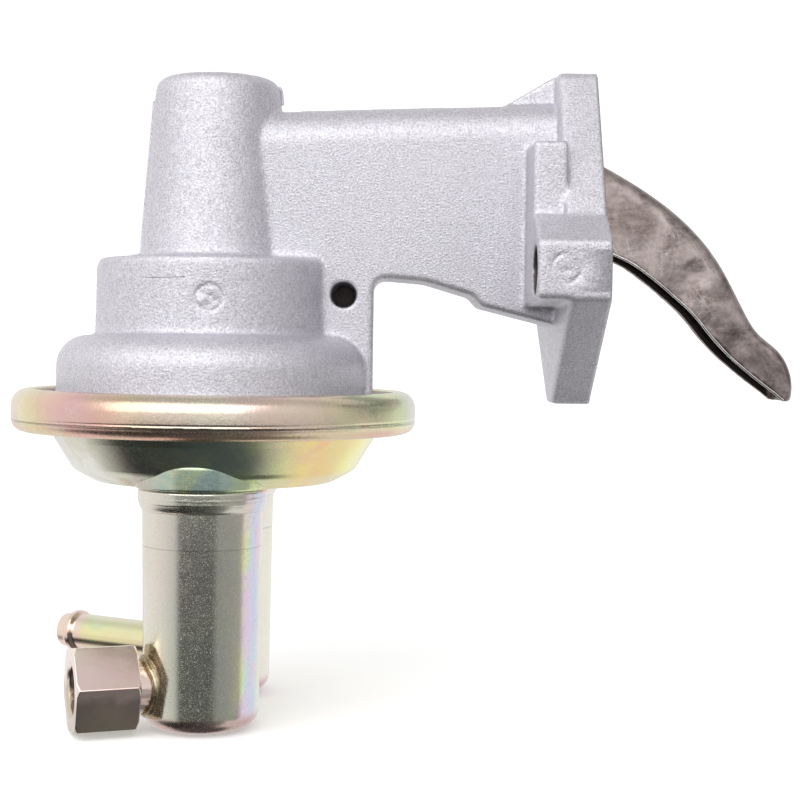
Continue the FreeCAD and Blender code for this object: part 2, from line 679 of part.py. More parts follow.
ROCKER_TOP = [
    (ROCKER_HEEL_X, 21.5), (-27.0, 23.6), (-13.0, 32.0), (0.0, 28.2), (11.1, 22.1), (20.9, 15.2),
    (31.0, 4.2), (38.4, -9.0), (41.6, -13.6), (46.2, -17.4), (ROCKER_TOE_X - 0.9, -22.0),
    (ROCKER_TOE_X, -26.6), (ROCKER_TOE_X - 0.4, -30.0),
]
ROCKER_FOOT = [
    (47.6, -30.1), (42.0, -25.9), (36.7, -21.8), (31.8, -17.4), (28.3, -13.5), (25.1, -9.6), (20.7, -5.5),
    (15.4, -1.2), (9.3, 3.0), (0.0, 6.6), (-13.0, 10.2), (-27.0, 15.0), (ROCKER_HEEL_X, 17.5),
]


def side_curve(points, y):
    curve = Part.BSplineCurve()
    curve.interpolate([V(x, y, z) for x, z in points])
    return curve


def shifted(points, distance):
    """The points of a side curve moved square to it, towards its lower side."""
    curve = side_curve(points, 0)
    result = []
    for x, z in points:
        tangent = curve.tangent(curve.parameter(V(x, 0, z)))[0]
        result.append((x + tangent.z * distance, z - tangent.x * distance))
    return result


def side_shape(top, foot, half_width, shoulder):
    """Solid between a top curve and a foot curve, the full width of a pressed channel, with round shoulders."""
    over = side_curve(top, -half_width).toShape()
    under = side_curve(foot, -half_width).toShape()
    toe = Part.LineSegment(V(top[-1][0], -half_width, top[-1][1]), V(foot[0][0], -half_width, foot[0][1]))
    heel = Part.LineSegment(V(foot[-1][0], -half_width, foot[-1][1]), V(top[0][0], -half_width, top[0][1]))
    wire = Part.Wire([over, toe.toShape(), under, heel.toShape()])
    body = Part.Face(wire).extrude(V(0, 2 * half_width, 0))
    if shoulder == 0.0:
        return body
    crown = over.extrude(V(0, 2 * half_width, 0))
    shoulders = []
    for edge in body.Edges:
        middle = edge.valueAt((edge.FirstParameter + edge.LastParameter) / 2)
        straight = edge.Curve.TypeId == "Part::GeomLine"
        if not straight and crown.distToShape(Part.Vertex(middle))[0] < 0.01:
            shoulders.append(edge)
    return body.makeFillet(shoulder, shoulders)


def rocker_arm():
    """Pressed steel channel, open below, with a nose at the toe and a spring seat on the heel."""
    outer = side_shape(ROCKER_TOP, ROCKER_FOOT, ROCKER_HALF_WIDTH, ROCKER_SHOULDER_ROUND)
    inner_top = shifted(ROCKER_TOP, ROCKER_SHEET)
    inner_top[0] = (ROCKER_HEEL_X - 2.0, inner_top[0][1])
    inner_top[-1] = (inner_top[-1][0] - 0.4, inner_top[-1][1] - 3.0)
    inner_foot = shifted(ROCKER_FOOT, -6.0)
    inner_foot[-1] = (ROCKER_HEEL_X - 2.0, inner_foot[-1][1])
    inner = side_shape(inner_top, inner_foot, ROCKER_HALF_WIDTH - ROCKER_SHEET,
                       ROCKER_SHOULDER_ROUND - ROCKER_SHEET)
    plan = Part.Face(rounded_outline([
        (ROCKER_HEEL_X - 1, -ROCKER_HALF_WIDTH),
        (ROCKER_TOE_X - 20, -ROCKER_HALF_WIDTH, 60.0),
        (ROCKER_TOE_X + 1, -ROCKER_TOE_HALF_WIDTH, 3.0),
        (ROCKER_TOE_X + 1, ROCKER_TOE_HALF_WIDTH, 3.0),
        (ROCKER_TOE_X - 20, ROCKER_HALF_WIDTH, 60.0),
        (ROCKER_HEEL_X - 1, ROCKER_HALF_WIDTH),
    ], lambda p: V(p.x, p.y, -60))).extrude(V(0, 0, 120))
    channel = outer.cut(inner).common(plan)
    seat = rod(HEEL_SEAT_R, V(HEEL_SPRING_X, 0, HEEL_SEAT_Z - ROCKER_SHEET), V(HEEL_SPRING_X, 0, HEEL_SEAT_Z))
    bore = rod(BUSHING_R + PRESS_GAP, V(PIVOT_X, -ROCKER_HALF_WIDTH - 1, PIVOT_Z),
               V(PIVOT_X, ROCKER_HALF_WIDTH + 1, PIVOT_Z))
    return one_solid(channel.fuse(seat).cut(bore))


def link_lever():
    """Lever between the rocker's walls: hub on the bushing, nose under the rocker's web, fork under the rod's collar."""
    half = LINK_THICK / 2
    bar_foot = FORK_FOOT_Z + 0.4
    fork_start = PUMP_AXIS_X + FORK_REACH + 2.0
    bar = side_plate([
        (PIVOT_X + 5.0, PIVOT_Z - 7.0),
        (PIVOT_X + 5.0, PIVOT_Z),
        (PIVOT_X - 9.0, bar_foot + LINK_BAR_HEIGHT + 2.6, 6.0),
        (fork_start, bar_foot + LINK_BAR_HEIGHT),
        (fork_start, bar_foot),
        (PIVOT_X - 12.0, bar_foot, 8.0),
    ], -half, half)
    hub = rod(LINK_HUB_R, V(PIVOT_X, -half, PIVOT_Z), V(PIVOT_X, half, PIVOT_Z))
    nose = side_plate([
        (PIVOT_X + 2.0, PIVOT_Z + 3.0),
        (PIVOT_X + 10.0, PIVOT_Z + 3.6, 2.0),
        (PIVOT_X + 14.5, PIVOT_Z + 1.0, 1.5),
        (PIVOT_X + 13.0, PIVOT_Z - 4.0, 2.0),
        (PIVOT_X + 2.0, PIVOT_Z - 6.0),
    ], -half, half)
    pad = rod(FORK_PAD_R, V(PUMP_AXIS_X, -FORK_HALF_WIDTH, FORK_TOP_Z - FORK_PAD_R),
              V(PUMP_AXIS_X, FORK_HALF_WIDTH, FORK_TOP_Z - FORK_PAD_R))
    pad_zone = box(PUMP_AXIS_X - FORK_REACH, PUMP_AXIS_X + FORK_REACH, -FORK_HALF_WIDTH, FORK_HALF_WIDTH,
                   FORK_FOOT_Z, FORK_TOP_Z)
    bridge = box(PUMP_AXIS_X + FORK_REACH - 2.0, fork_start + 3.0, -FORK_HALF_WIDTH, FORK_HALF_WIDTH,
                 FORK_FOOT_Z, bar_foot + LINK_BAR_HEIGHT - 1.0)
    slot = box(PUMP_AXIS_X - FORK_REACH - 1, PUMP_AXIS_X + FORK_SLOT_HALF_WIDTH + 1.0,
               -FORK_SLOT_HALF_WIDTH, FORK_SLOT_HALF_WIDTH, 0, 30)
    bore = rod(BUSHING_R + RUNNING_GAP, V(PIVOT_X, -half - 1, PIVOT_Z), V(PIVOT_X, half + 1, PIVOT_Z))
    lever = bar.fuse([hub, nose, pad.common(pad_zone), bridge])
    return one_solid(lever.cut([slot, bore]))


def sleeve(outer_r, inner_r, start, end):
    return one_solid(rod(outer_r, start, end).cut(rod(inner_r, start, end)))


def pivot_pieces():
    """Pin, its sealing plug, the bushing that the rocker turns on and a thrust washer on each side."""
    def at(y):
        return V(PIVOT_X, y, PIVOT_Z)
    washer_in = ROCKER_HALF_WIDTH + STACK_GAP
    return {
        "pivot_pin": rod(PIN_R, at(-PIN_HALF_LENGTH), at(PIN_HALF_LENGTH)),
        "pin_plug": rod(PLUG_R, at(PIN_HALF_LENGTH + 0.5), at(PAD_HALF_WIDTH - PLUG_INSET)),
        "arm_bushing": sleeve(BUSHING_R, PIN_R + RUNNING_GAP, at(-ROCKER_HALF_WIDTH), at(ROCKER_HALF_WIDTH)),
        "front_thrust_washer": sleeve(WASHER_R, PIN_R + RUNNING_GAP, at(-washer_in - WASHER_THICK),
                                      at(-washer_in)),
        "rear_thrust_washer": sleeve(WASHER_R, PIN_R + RUNNING_GAP, at(washer_in), at(washer_in + WASHER_THICK)),
    }


# Pull rod, diaphragm and seal

def pull_rod():
    shoulder_foot = DIAPHRAGM_TOP_Z + CUP_SHEET
    end = DIAPHRAGM_FOOT_Z - CUP_SHEET - RIVET_WASHER_THICK - ROD_END_BELOW
    return turned([
        (0, ROD_TOP_Z),
        (ROD_R, ROD_TOP_Z, 0.8),
        (ROD_R, COLLAR_TOP_Z),
        (ROD_COLLAR_R, COLLAR_TOP_Z),
        (ROD_COLLAR_R, COLLAR_FOOT_Z),
        (ROD_R, COLLAR_FOOT_Z),
        (ROD_R, shoulder_foot + ROD_SHOULDER_HEIGHT),
        (ROD_SHOULDER_R, shoulder_foot + ROD_SHOULDER_HEIGHT, 0.5),
        (ROD_SHOULDER_R, shoulder_foot),
        (ROD_R, shoulder_foot),
        (ROD_R, end, 0.6),
        (0, end),
    ])


def spring_seat():
    inner_r = ROD_R + PRESS_GAP
    return turned([
        (inner_r, COLLAR_TOP_Z),
        (SEAT_R, COLLAR_TOP_Z, 1.4),
        (SEAT_R, COLLAR_TOP_Z + SEAT_RIM_HEIGHT),
        (SEAT_R - SEAT_SHEET, COLLAR_TOP_Z + SEAT_RIM_HEIGHT),
        (SEAT_R - SEAT_SHEET, COLLAR_TOP_Z + SEAT_SHEET, 0.4),
        (inner_r, COLLAR_TOP_Z + SEAT_SHEET),
    ])


def dished_cup(radius, flat_z, up):
    """Pressed plate that bears on the diaphragm at flat_z, with a rim turned away from it; up is 1 or -1."""
    inner_r = ROD_R + PRESS_GAP
    back_z = flat_z + up * CUP_SHEET
    rim_z = flat_z + up * CUP_RIM_HEIGHT
    return turned([
        (inner_r, flat_z),
        (radius, flat_z, 2.0),
        (radius, rim_z),
        (radius - CUP_SHEET, rim_z),
        (radius - CUP_SHEET, back_z, 0.8),
        (inner_r, back_z),
    ])


def rivet_washer():
    top = DIAPHRAGM_FOOT_Z - CUP_SHEET
    centre = V(PUMP_AXIS_X, 0, top)
    return sleeve(RIVET_WASHER_R, ROD_R + PRESS_GAP, centre - V(0, 0, RIVET_WASHER_THICK), centre)


def diaphragm():
    """Flat between the cups, folded once, and flat again where the rim clamps it."""
    thick = DIAPHRAGM_THICK
    inner_r = ROD_R + PRESS_GAP
    crest = DIAPHRAGM_TOP_Z - DIAPHRAGM_FOLD_DEPTH
    fold_in = DIAPHRAGM_FOLD_IN_R
    fold_out = DIAPHRAGM_FOLD_OUT_R
    middle = (fold_in + fold_out) / 2
    return turned([
        (inner_r, DIAPHRAGM_TOP_Z),
        (fold_in, DIAPHRAGM_TOP_Z, 1.6),
        (middle, crest, 2.0),
        (fold_out, DIAPHRAGM_RIM_TOP_Z, 1.6),
        (RIM_R, DIAPHRAGM_RIM_TOP_Z),
        (RIM_R, DIAPHRAGM_RIM_TOP_Z - thick),
        (fold_out + 0.7, DIAPHRAGM_RIM_TOP_Z - thick, 1.6),
        (middle, crest - thick * 1.5, 2.6),
        (fold_in - 0.7, DIAPHRAGM_FOOT_Z, 1.6),
        (inner_r, DIAPHRAGM_FOOT_Z),
    ])


def rod_oil_seal():
    top = SEAL_POCKET_TOP_Z - STACK_GAP
    lip_r = ROD_R + SEAL_LIP_GAP
    return turned([
        (lip_r + 1.2, top),
        (SEAL_R, top),
        (SEAL_R, top - SEAL_THICK),
        (lip_r, top - SEAL_THICK),
        (lip_r, top - SEAL_THICK + 1.6),
        (lip_r + 1.2, top - SEAL_THICK + 2.8),
    ])


def seal_retainer():
    top = SEAL_POCKET_TOP_Z - STACK_GAP - SEAL_THICK
    centre = V(PUMP_AXIS_X, 0, top)
    return sleeve(SEAL_R, RETAINER_HOLE_R, centre - V(0, 0, RETAINER_THICK), centre)


# Springs

def diaphragm_spring():
    return coil(TOWER_SPRING_R, TOWER_SPRING_WIRE_R, COLLAR_TOP_Z + SEAT_SHEET, TOWER_TOP_Z - TOWER_WALL,
                TOWER_SPRING_TURNS, PUMP_AXIS_X, 0)


def arm_return_spring():
    slope = math.tan(math.radians(ARM_TOP_SLOPE_DEG))
    roof = ARM_TOP_Z - ARM_WALL_TOP + slope * HEEL_SPRING_X
    return coil(HEEL_SPRING_R, HEEL_SPRING_WIRE_R, HEEL_SEAT_Z + STACK_GAP, roof - SEAT_GAP, HEEL_SPRING_TURNS,
                HEEL_SPRING_X, 0)


# Valves

def valve(side_y, opens):
    """Seat, stem, disc and spring of one valve; opens is 1 where the disc lifts and -1 where it drops."""
    floor = BOWL_FLOOR_Z + BOWL_SHEET
    centre = V(CAN_X, side_y, 0)

    def level(z):
        return centre + V(0, 0, z)
    flange_top = floor + VALVE_FLANGE_THICK
    body_foot = flange_top - VALVE_BODY_THICK
    seat = rod(VALVE_FLANGE_R, level(floor), level(flange_top))
    seat = seat.fuse(rod(VALVE_BODY_R, level(body_foot), level(flange_top)))
    for i in range(VALVE_PORTS):
        turn = math.radians(360 * i / VALVE_PORTS)
        aside = V(math.cos(turn), math.sin(turn), 0) * VALVE_PORT_CIRCLE_R
        seat = seat.cut(rod(VALVE_PORT_R, level(body_foot) + aside, level(flange_top) + aside))
    seat = seat.cut(rod(VALVE_STEM_R + PRESS_GAP, level(body_foot), level(flange_top)))
    face = flange_top if opens > 0 else body_foot
    back = body_foot if opens > 0 else flange_top
    disc_near = face + opens * VALVE_DISC_GAP
    disc_far = disc_near + opens * VALVE_DISC_THICK
    spring_far = disc_far + opens * VALVE_SPRING_LENGTH
    stem = rod(VALVE_STEM_R, level(back), level(spring_far))
    head = rod(VALVE_STEM_HEAD_R, level(spring_far), level(spring_far + opens * VALVE_STEM_HEAD_THICK))
    hole_r = VALVE_STEM_R + VALVE_STEM_GAP
    return {
        "seat": one_solid(seat),
        "stem": one_solid(stem.fuse(head)),
        "disc": sleeve(VALVE_DISC_R, hole_r, level(disc_near), level(disc_far)),
        "spring": coil(VALVE_SPRING_R, VALVE_SPRING_WIRE_R, min(disc_far, spring_far), max(disc_far, spring_far),
                       VALVE_SPRING_TURNS, CAN_X, side_y),
    }


def all_pieces():
    pieces = {
        "upper_housing": upper_housing(),
        "crimp_ring": crimp_ring(),
        "fuel_cover": fuel_cover(),
        "outlet_can": outlet_can(),
        "inlet_can": inlet_can(),
        "outlet_fitting": outlet_fitting(),
        "inlet_nipple": inlet_nipple(),
        "rocker_arm": rocker_arm(),
        "link_lever": link_lever(),
        "pull_rod": pull_rod(),
        "spring_seat": spring_seat(),
        "upper_cup": dished_cup(UPPER_CUP_R, DIAPHRAGM_TOP_Z, 1),
        "lower_cup": dished_cup(LOWER_CUP_R, DIAPHRAGM_FOOT_Z, -1),
        "rivet_washer": rivet_washer(),
        "diaphragm": diaphragm(),
        "rod_oil_seal": rod_oil_seal(),
        "seal_retainer": seal_retainer(),
        "diaphragm_spring": diaphragm_spring(),
        "arm_return_spring": arm_return_spring(),
    }
    pieces.update(pivot_pieces())
    for name, y, opens in (("outlet", FRONT_CAN_Y, -1), ("inlet", REAR_CAN_Y, 1)):
        for piece, shape in valve(y, opens).items():
            pieces["%s_valve_%s" % (name, piece)] = shape
    return pieces


os.makedirs("parts", exist_ok=True)
for piece_name, piece_shape in all_pieces().items():
    piece_shape.exportStep("parts/%s.step" % piece_name)
    print(piece_name, piece_shape.isValid(), len(piece_shape.Solids), round(piece_shape.Volume, 1))
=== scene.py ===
# %% [markdown]
# # A mechanical fuel pump, dressed for the camera
# The shape of the pump comes from its CAD model: a sandblasted die casting, a rolled ring, a pressed bowl with
# two cans, and a rocker arm. This notebook gives those pieces their surfaces, adds the marks that a mould and a
# press leave behind, and lights them as in a small photo tent. Each cell can be run and looked at by itself.

import bmesh
import bpy
import json
import math
import numpy as np
from mathutils import Matrix, Vector
from mathutils.bvhtree import BVHTree


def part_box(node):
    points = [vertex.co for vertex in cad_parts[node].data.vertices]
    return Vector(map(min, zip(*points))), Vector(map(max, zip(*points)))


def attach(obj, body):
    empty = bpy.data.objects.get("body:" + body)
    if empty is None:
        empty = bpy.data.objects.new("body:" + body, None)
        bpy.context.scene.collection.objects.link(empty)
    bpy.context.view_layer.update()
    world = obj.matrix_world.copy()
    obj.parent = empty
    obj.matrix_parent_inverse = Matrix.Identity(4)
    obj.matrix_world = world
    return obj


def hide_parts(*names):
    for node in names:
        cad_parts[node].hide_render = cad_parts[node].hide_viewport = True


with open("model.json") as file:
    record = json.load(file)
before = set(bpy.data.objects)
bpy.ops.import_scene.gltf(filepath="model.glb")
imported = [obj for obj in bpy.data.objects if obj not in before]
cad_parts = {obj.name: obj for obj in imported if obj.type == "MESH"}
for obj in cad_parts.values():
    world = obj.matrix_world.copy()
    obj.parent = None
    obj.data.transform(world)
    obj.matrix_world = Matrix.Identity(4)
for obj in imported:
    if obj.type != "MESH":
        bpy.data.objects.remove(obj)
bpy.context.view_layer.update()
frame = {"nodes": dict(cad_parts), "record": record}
nodes = frame["nodes"]
MM = 0.001
print("pieces:", len(nodes))

# %% [markdown]
# ## The axis and the levels that other cells need
# Nothing is measured twice. The box of a CAD piece says where its middle is, so the pump axis is the middle of
# the rolled ring, and each can's axis is the middle of that can.

# %% Read the main axes from the model


def middle_of(node):
    low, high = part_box(node)
    return (low + high) / 2


PUMP_AXIS = middle_of("crimp_ring")
OUTLET_AXIS = middle_of("outlet_can")
INLET_AXIS = middle_of("inlet_can")
FLOOR_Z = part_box("outlet_fitting")[0].z - 0.2 * MM
print("pump axis x", round(PUMP_AXIS.x, 4), "floor", round(FLOOR_Z, 4))

# %% [markdown]
# ## Objects in the scene
# Blender shows an object only when a collection holds it, so one helper makes the object and links it.

# %% Helper: a new object


def add_object(name, data):
    thing = bpy.data.objects.new(name, data)
    bpy.context.scene.collection.objects.link(thing)
    return thing


# %% [markdown]
# ## The camera
# The photograph was taken level with the ring, nearly square to the side of the pump, from about 40 cm. The camera's
# right and up directions are worked out here, because the photo is also turned by a small angle in its own plane, and
# a Track To constraint can't do that.

# %% Place the camera
CAMERA_AT = Vector((-54.65, -400.0, -17.1)) * MM
LOOKS_AT = Vector((-46.2, 0.0, -31.1)) * MM
PHOTO_ROLL = math.radians(0.78)
LENS, FILM_WIDTH = 72.7, 36.0


def place_camera():
    camera = add_object("camera", bpy.data.cameras.new("camera"))
    camera.data.lens, camera.data.sensor_width = LENS, FILM_WIDTH
    camera.data.clip_start = 0.01
    forward = (LOOKS_AT - CAMERA_AT).normalized()
    level_right = forward.cross(Vector((0, 0, 1))).normalized()
    level_up = level_right.cross(forward)
    right = level_right * math.cos(PHOTO_ROLL) + level_up * math.sin(PHOTO_ROLL)
    up = level_up * math.cos(PHOTO_ROLL) - level_right * math.sin(PHOTO_ROLL)
    turn = Matrix((right, up, -forward)).transposed()
    camera.matrix_world = Matrix.Translation(CAMERA_AT) @ turn.to_4x4()
    bpy.context.scene.camera = camera


place_camera()
print("camera distance", round((LOOKS_AT - CAMERA_AT).length, 3))

# %% [markdown]
# ## Small helpers for node trees
# Every material, node group and Geometry Nodes tree below is built from nodes. `put` makes one node and fills its
# inputs in the same line: a plain value is typed into the socket, and another node's output is linked to it. `made`
# does the same and gives the node's first output.

# %% Helpers that build node trees


def fill(tree, node, inputs):
    for key, value in inputs.items():
        if isinstance(value, bpy.types.NodeSocket):
            tree.links.new(value, node.inputs[key])
        else:
            node.inputs[key].default_value = value


def put(tree, kind, inputs=None, **settings):
    node = tree.nodes.new(kind)
    for name, value in settings.items():
        setattr(node, name, value)
    fill(tree, node, inputs or {})
    return node


def made(tree, kind, inputs=None, **settings):
    return put(tree, kind, inputs, **settings).outputs[0]


def calc(tree, operation, first, second=0.0, clamp=False):
    return made(tree, "ShaderNodeMath", {0: first, 1: second}, operation=operation, use_clamp=clamp)


def times(tree, first, second, clamp=False):
    return calc(tree, "MULTIPLY", first, second, clamp)


def plus(tree, first, second, clamp=False):
    return calc(tree, "ADD", first, second, clamp)


def smooth_range(tree, value, start, end, low=0.0, high=1.0):
    return made(tree, "ShaderNodeMapRange", {"Value": value, "From Min": start, "From Max": end,
                                             "To Min": low, "To Max": high}, interpolation_type="SMOOTHSTEP")


def blend_colour(tree, share, first, second, mode="MIX"):
    return put(tree, "ShaderNodeMix", {0: share, 6: first, 7: second}, data_type="RGBA",
               blend_type=mode).outputs[2]


def vector_calc(tree, operation, *values):
    node = put(tree, "ShaderNodeVectorMath", dict(enumerate(values)), operation=operation)
    return node.outputs["Value" if operation in ("LENGTH", "DOT_PRODUCT") else "Vector"]


def own_place(tree):
    return put(tree, "ShaderNodeTexCoord").outputs["Object"]


def parts_of(tree, vector):
    return put(tree, "ShaderNodeSeparateXYZ", {0: vector}).outputs


def compass_turn(tree, parts):
    """0 to 1 once round the compass, with 0.5 towards the camera."""
    angle = calc(tree, "ARCTAN2", parts[0], times(tree, parts[1], -1.0))
    return plus(tree, times(tree, angle, 0.5 / math.pi), 0.5)


def ramp(tree, value, stops):
    node = put(tree, "ShaderNodeValToRGB", {0: value})
    elements = node.color_ramp.elements
    elements[0].position, elements[1].position = stops[0][0], stops[-1][0]
    elements[0].color, elements[1].color = rgba(stops[0][1]), rgba(stops[-1][1])
    for position, colour in stops[1:-1]:
        elements.new(position).color = rgba(colour)
    return node.outputs[0]


def rgba(colour):
    if isinstance(colour, (int, float)):
        return (colour, colour, colour, 1.0)
    return (colour[0], colour[1], colour[2], 1.0)


def noise(tree, vector, scale, detail=2.0, roughness=0.5, distortion=0.0):
    return made(tree, "ShaderNodeTexNoise", {"Vector": vector, "Scale": scale, "Detail": detail,
                                             "Roughness": roughness, "Distortion": distortion})


def new_group(name, inputs, outputs, use="Shader"):
    group = bpy.data.node_groups.new(name, use + "NodeTree")
    for label, kind, value in inputs:
        socket = group.interface.new_socket(label, in_out="INPUT", socket_type="NodeSocket" + kind)
        if value is not None:
            socket.default_value = value
    for label, kind in outputs:
        group.interface.new_socket(label, in_out="OUTPUT", socket_type="NodeSocket" + kind)
    return group, put(group, "NodeGroupInput").outputs


def use_group(tree, group, inputs):
    return put(tree, "ShaderNodeGroup", inputs, node_tree=group).outputs


# %% [markdown]
# ## The tones of the room
# Polished zinc shows the room. In the photograph the cans mirror a dark room behind the camera, a grey zone to its
# right and white panels on both sides. The bowl leans downwards and mirrors what is under the table, and the
# casting and the ring's top see the bright panels above. One node group turns a direction into such a tone: three
# ramps go round the compass, and the direction's rise picks between them.

# %% Group: the tone of the room in one direction


def build_room_tones():
    group, given = new_group("room_tones", [("Direction", "Vector", (0.0, 0.0, 0.0))],
                             [("Tone", "Color"), ("Rise", "Float")])
    way = vector_calc(group, "NORMALIZE", given["Direction"])
    parts = parts_of(group, way)
    turn = compass_turn(group, parts)
    high = ramp(group, turn, [(0.0, 0.85), (0.12, 1.0), (0.36, 1.0), (0.52, 0.95), (0.60, 0.84), (0.67, 0.74),
                              (0.72, 0.60), (0.765, 0.36), (0.81, 0.36), (0.855, 0.85), (1.0, 0.85)])
    level = ramp(group, turn, [(0.0, 0.75), (0.06, 0.9), (0.22, 1.0), (0.30, 0.9), (0.365, 0.72), (0.395, 0.13),
                               (0.57, 0.12), (0.60, 0.34), (0.735, 0.42), (0.76, 1.0), (0.94, 1.0), (1.0, 0.75)])
    low = ramp(group, turn, [(0.0, 0.85), (0.17, 0.95), (0.21, 0.50), (0.25, 0.05), (0.40, 0.03), (0.52, 0.08),
                             (0.60, 0.16), (0.645, 0.32), (0.68, 0.90), (1.0, 0.85)])
    tone = blend_colour(group, smooth_range(group, parts[2], -0.60, -0.35), low, level)
    tone = blend_colour(group, smooth_range(group, parts[2], -0.95, -0.80), rgba(0.10), tone)
    tone = blend_colour(group, smooth_range(group, parts[2], -0.095, -0.045), tone, high)
    put(group, "NodeGroupOutput", {"Tone": tone, "Rise": parts[2]})
    return group


room_tones = build_room_tones()
print("group:", room_tones.name)

# %% [markdown]
# ## The floor and the backdrop
# The product stands in front of plain white. A floor that curves up into a wall has no corner, so no line shows
# behind the pump. The paper is there for the camera and for the soft shadow. Reflections pass through it and find the
# room, as they do when a small part stands on a glass table.

# %% Make the floor with its curved backdrop


def white_paper():
    paper = bpy.data.materials.new("white_paper")
    paper.use_nodes = True
    tree = paper.node_tree
    surface = tree.nodes["Principled BSDF"]
    fill(tree, surface, {"Base Color": rgba(0.96), "Roughness": 0.9, "Emission Color": rgba(1.0),
                         "Emission Strength": 0.28})
    clear = made(tree, "ShaderNodeBsdfTransparent")
    seen = put(tree, "ShaderNodeLightPath").outputs["Is Camera Ray"]
    mixed = made(tree, "ShaderNodeMixShader", {0: seen, 1: clear, 2: surface.outputs[0]})
    tree.links.new(mixed, tree.nodes["Material Output"].inputs["Surface"])
    return paper


def make_backdrop():
    half_width, front, back, bend, height = 1.6, -1.3, 0.55, 0.35, 1.8
    profile = [(front, 0.0), (back - bend, 0.0)]
    profile += [(back - bend + bend * math.sin(math.radians(a)), bend - bend * math.cos(math.radians(a)))
                for a in range(10, 91, 10)]
    profile.append((back, height))
    mesh = bpy.data.meshes.new("backdrop")
    shape = bmesh.new()
    rows = [[shape.verts.new((x, y, FLOOR_Z + z)) for y, z in profile] for x in (-half_width, half_width)]
    for i in range(len(profile) - 1):
        shape.faces.new((rows[0][i], rows[1][i], rows[1][i + 1], rows[0][i + 1])).smooth = True
    shape.to_mesh(mesh)
    shape.free()
    backdrop = add_object("backdrop", mesh)
    mesh.materials.append(white_paper())
    return backdrop


backdrop = make_backdrop()
print("backdrop faces:", len(backdrop.data.polygons))

# %% [markdown]
# ## The light
# The casting is lit softly from the front and above, and it is a little darker on its right and from below. The
# World is the room, with a pale ceiling. One large panel to the left of the camera and above it gives the soft
# shadows and the long highlight on the ring.

# %% Build the world and the lamps


def build_world():
    world = bpy.data.worlds.new("photo_tent")
    bpy.context.scene.world = world
    world.use_nodes = True
    tree = world.node_tree
    direction = put(tree, "ShaderNodeTexCoord").outputs["Generated"]
    room = use_group(tree, room_tones, {"Direction": direction})
    ceiling = smooth_range(tree, room["Rise"], 0.6, 0.97)
    tones = blend_colour(tree, ceiling, room["Tone"], rgba(0.6))
    seen = put(tree, "ShaderNodeLightPath").outputs["Is Camera Ray"]
    shown = blend_colour(tree, seen, tones, rgba(1.0))
    fill(tree, tree.nodes["Background"], {"Color": shown, "Strength": 1.0})


def soft_lamp(name, place, target, size, power):
    lamp = add_object(name, bpy.data.lights.new(name, "AREA"))
    lamp.data.shape = "RECTANGLE"
    lamp.data.size, lamp.data.size_y = size
    lamp.data.energy = power
    lamp.location = place
    lamp.rotation_euler = (Vector(target) - Vector(place)).to_track_quat("-Z", "Y").to_euler()


build_world()
soft_lamp("front_panel", place=(-0.28, -0.64, 0.46), target=(-0.08, 0.0, 0.0), size=(1.3, 0.85), power=4.6)
scene = bpy.context.scene
scene.view_settings.view_transform = "Standard"
scene.view_settings.look = "None"
scene.view_settings.exposure = 0.0
scene.view_settings.gamma = 1.0

# %% [markdown]
# ## Effects that several finishes share
# Each of these effects is one shader node group with named sockets: where a point lies around a turned piece, the
# grain of a sandblasted casting, the film of a yellow zinc plate, the blotches of hardened steel, and fine
# scratches. A group gives out colours, masks and heights only. The shader itself stays in each material.

# %% Group: place around an axis


def build_around_axis():
    group, given = new_group("around_axis", [("Axis", "Vector", (0.0, 0.0, 0.0))],
                             [("Turn", "Float"), ("Height", "Float")])
    place = own_place(group)
    away = vector_calc(group, "SUBTRACT", place, given["Axis"])
    parts = parts_of(group, away)
    put(group, "NodeGroupOutput", {"Turn": compass_turn(group, parts), "Height": parts[2]})
    return group


around_axis = build_around_axis()
print("group:", around_axis.name)

# %% Group: sandblasted grain


def build_blasted_grain():
    group, given = new_group(
        "blasted_grain",
        [("Colour", "Color", rgba(0.6)), ("Grain Size", "Float", 0.00042), ("Contrast", "Float", 0.3),
         ("Roughness", "Float", 0.5)],
        [("Color", "Color"), ("Roughness", "Float"), ("Height", "Float")])
    place = own_place(group)
    scale = calc(group, "DIVIDE", 1.0, given["Grain Size"])
    fine = noise(group, place, scale, detail=3.0, roughness=0.7)
    coarse = noise(group, place, times(group, scale, 0.28), detail=2.0, roughness=0.5)
    cloud = noise(group, place, times(group, scale, 0.02), detail=2.0, roughness=0.5)
    height = plus(group, times(group, fine, 0.86), times(group, coarse, 0.14))
    pits = times(group, calc(group, "SUBTRACT", height, 0.5), 5.0)
    # Deeper grain gets a darker colour: the grain's own tone, with painted shade in its pits.
    shade = plus(group, times(group, pits, times(group, given["Contrast"], 0.5)), 1.0)
    shade = times(group, shade, smooth_range(group, cloud, 0.3, 0.7, 0.985, 1.015))
    grey = made(group, "ShaderNodeCombineColor", {0: shade, 1: shade, 2: shade})
    colour = blend_colour(group, 1.0, given["Colour"], grey, mode="MULTIPLY")
    rough = plus(group, given["Roughness"], times(group, pits, -0.10), clamp=True)
    put(group, "NodeGroupOutput", {"Color": colour, "Roughness": rough, "Height": height})
    return group


blasted_grain = build_blasted_grain()
print("group:", blasted_grain.name)

# %% Group: yellow zinc film
# The film's hue drifts in soft clouds, and fine specks and a few dull patches break the gloss.


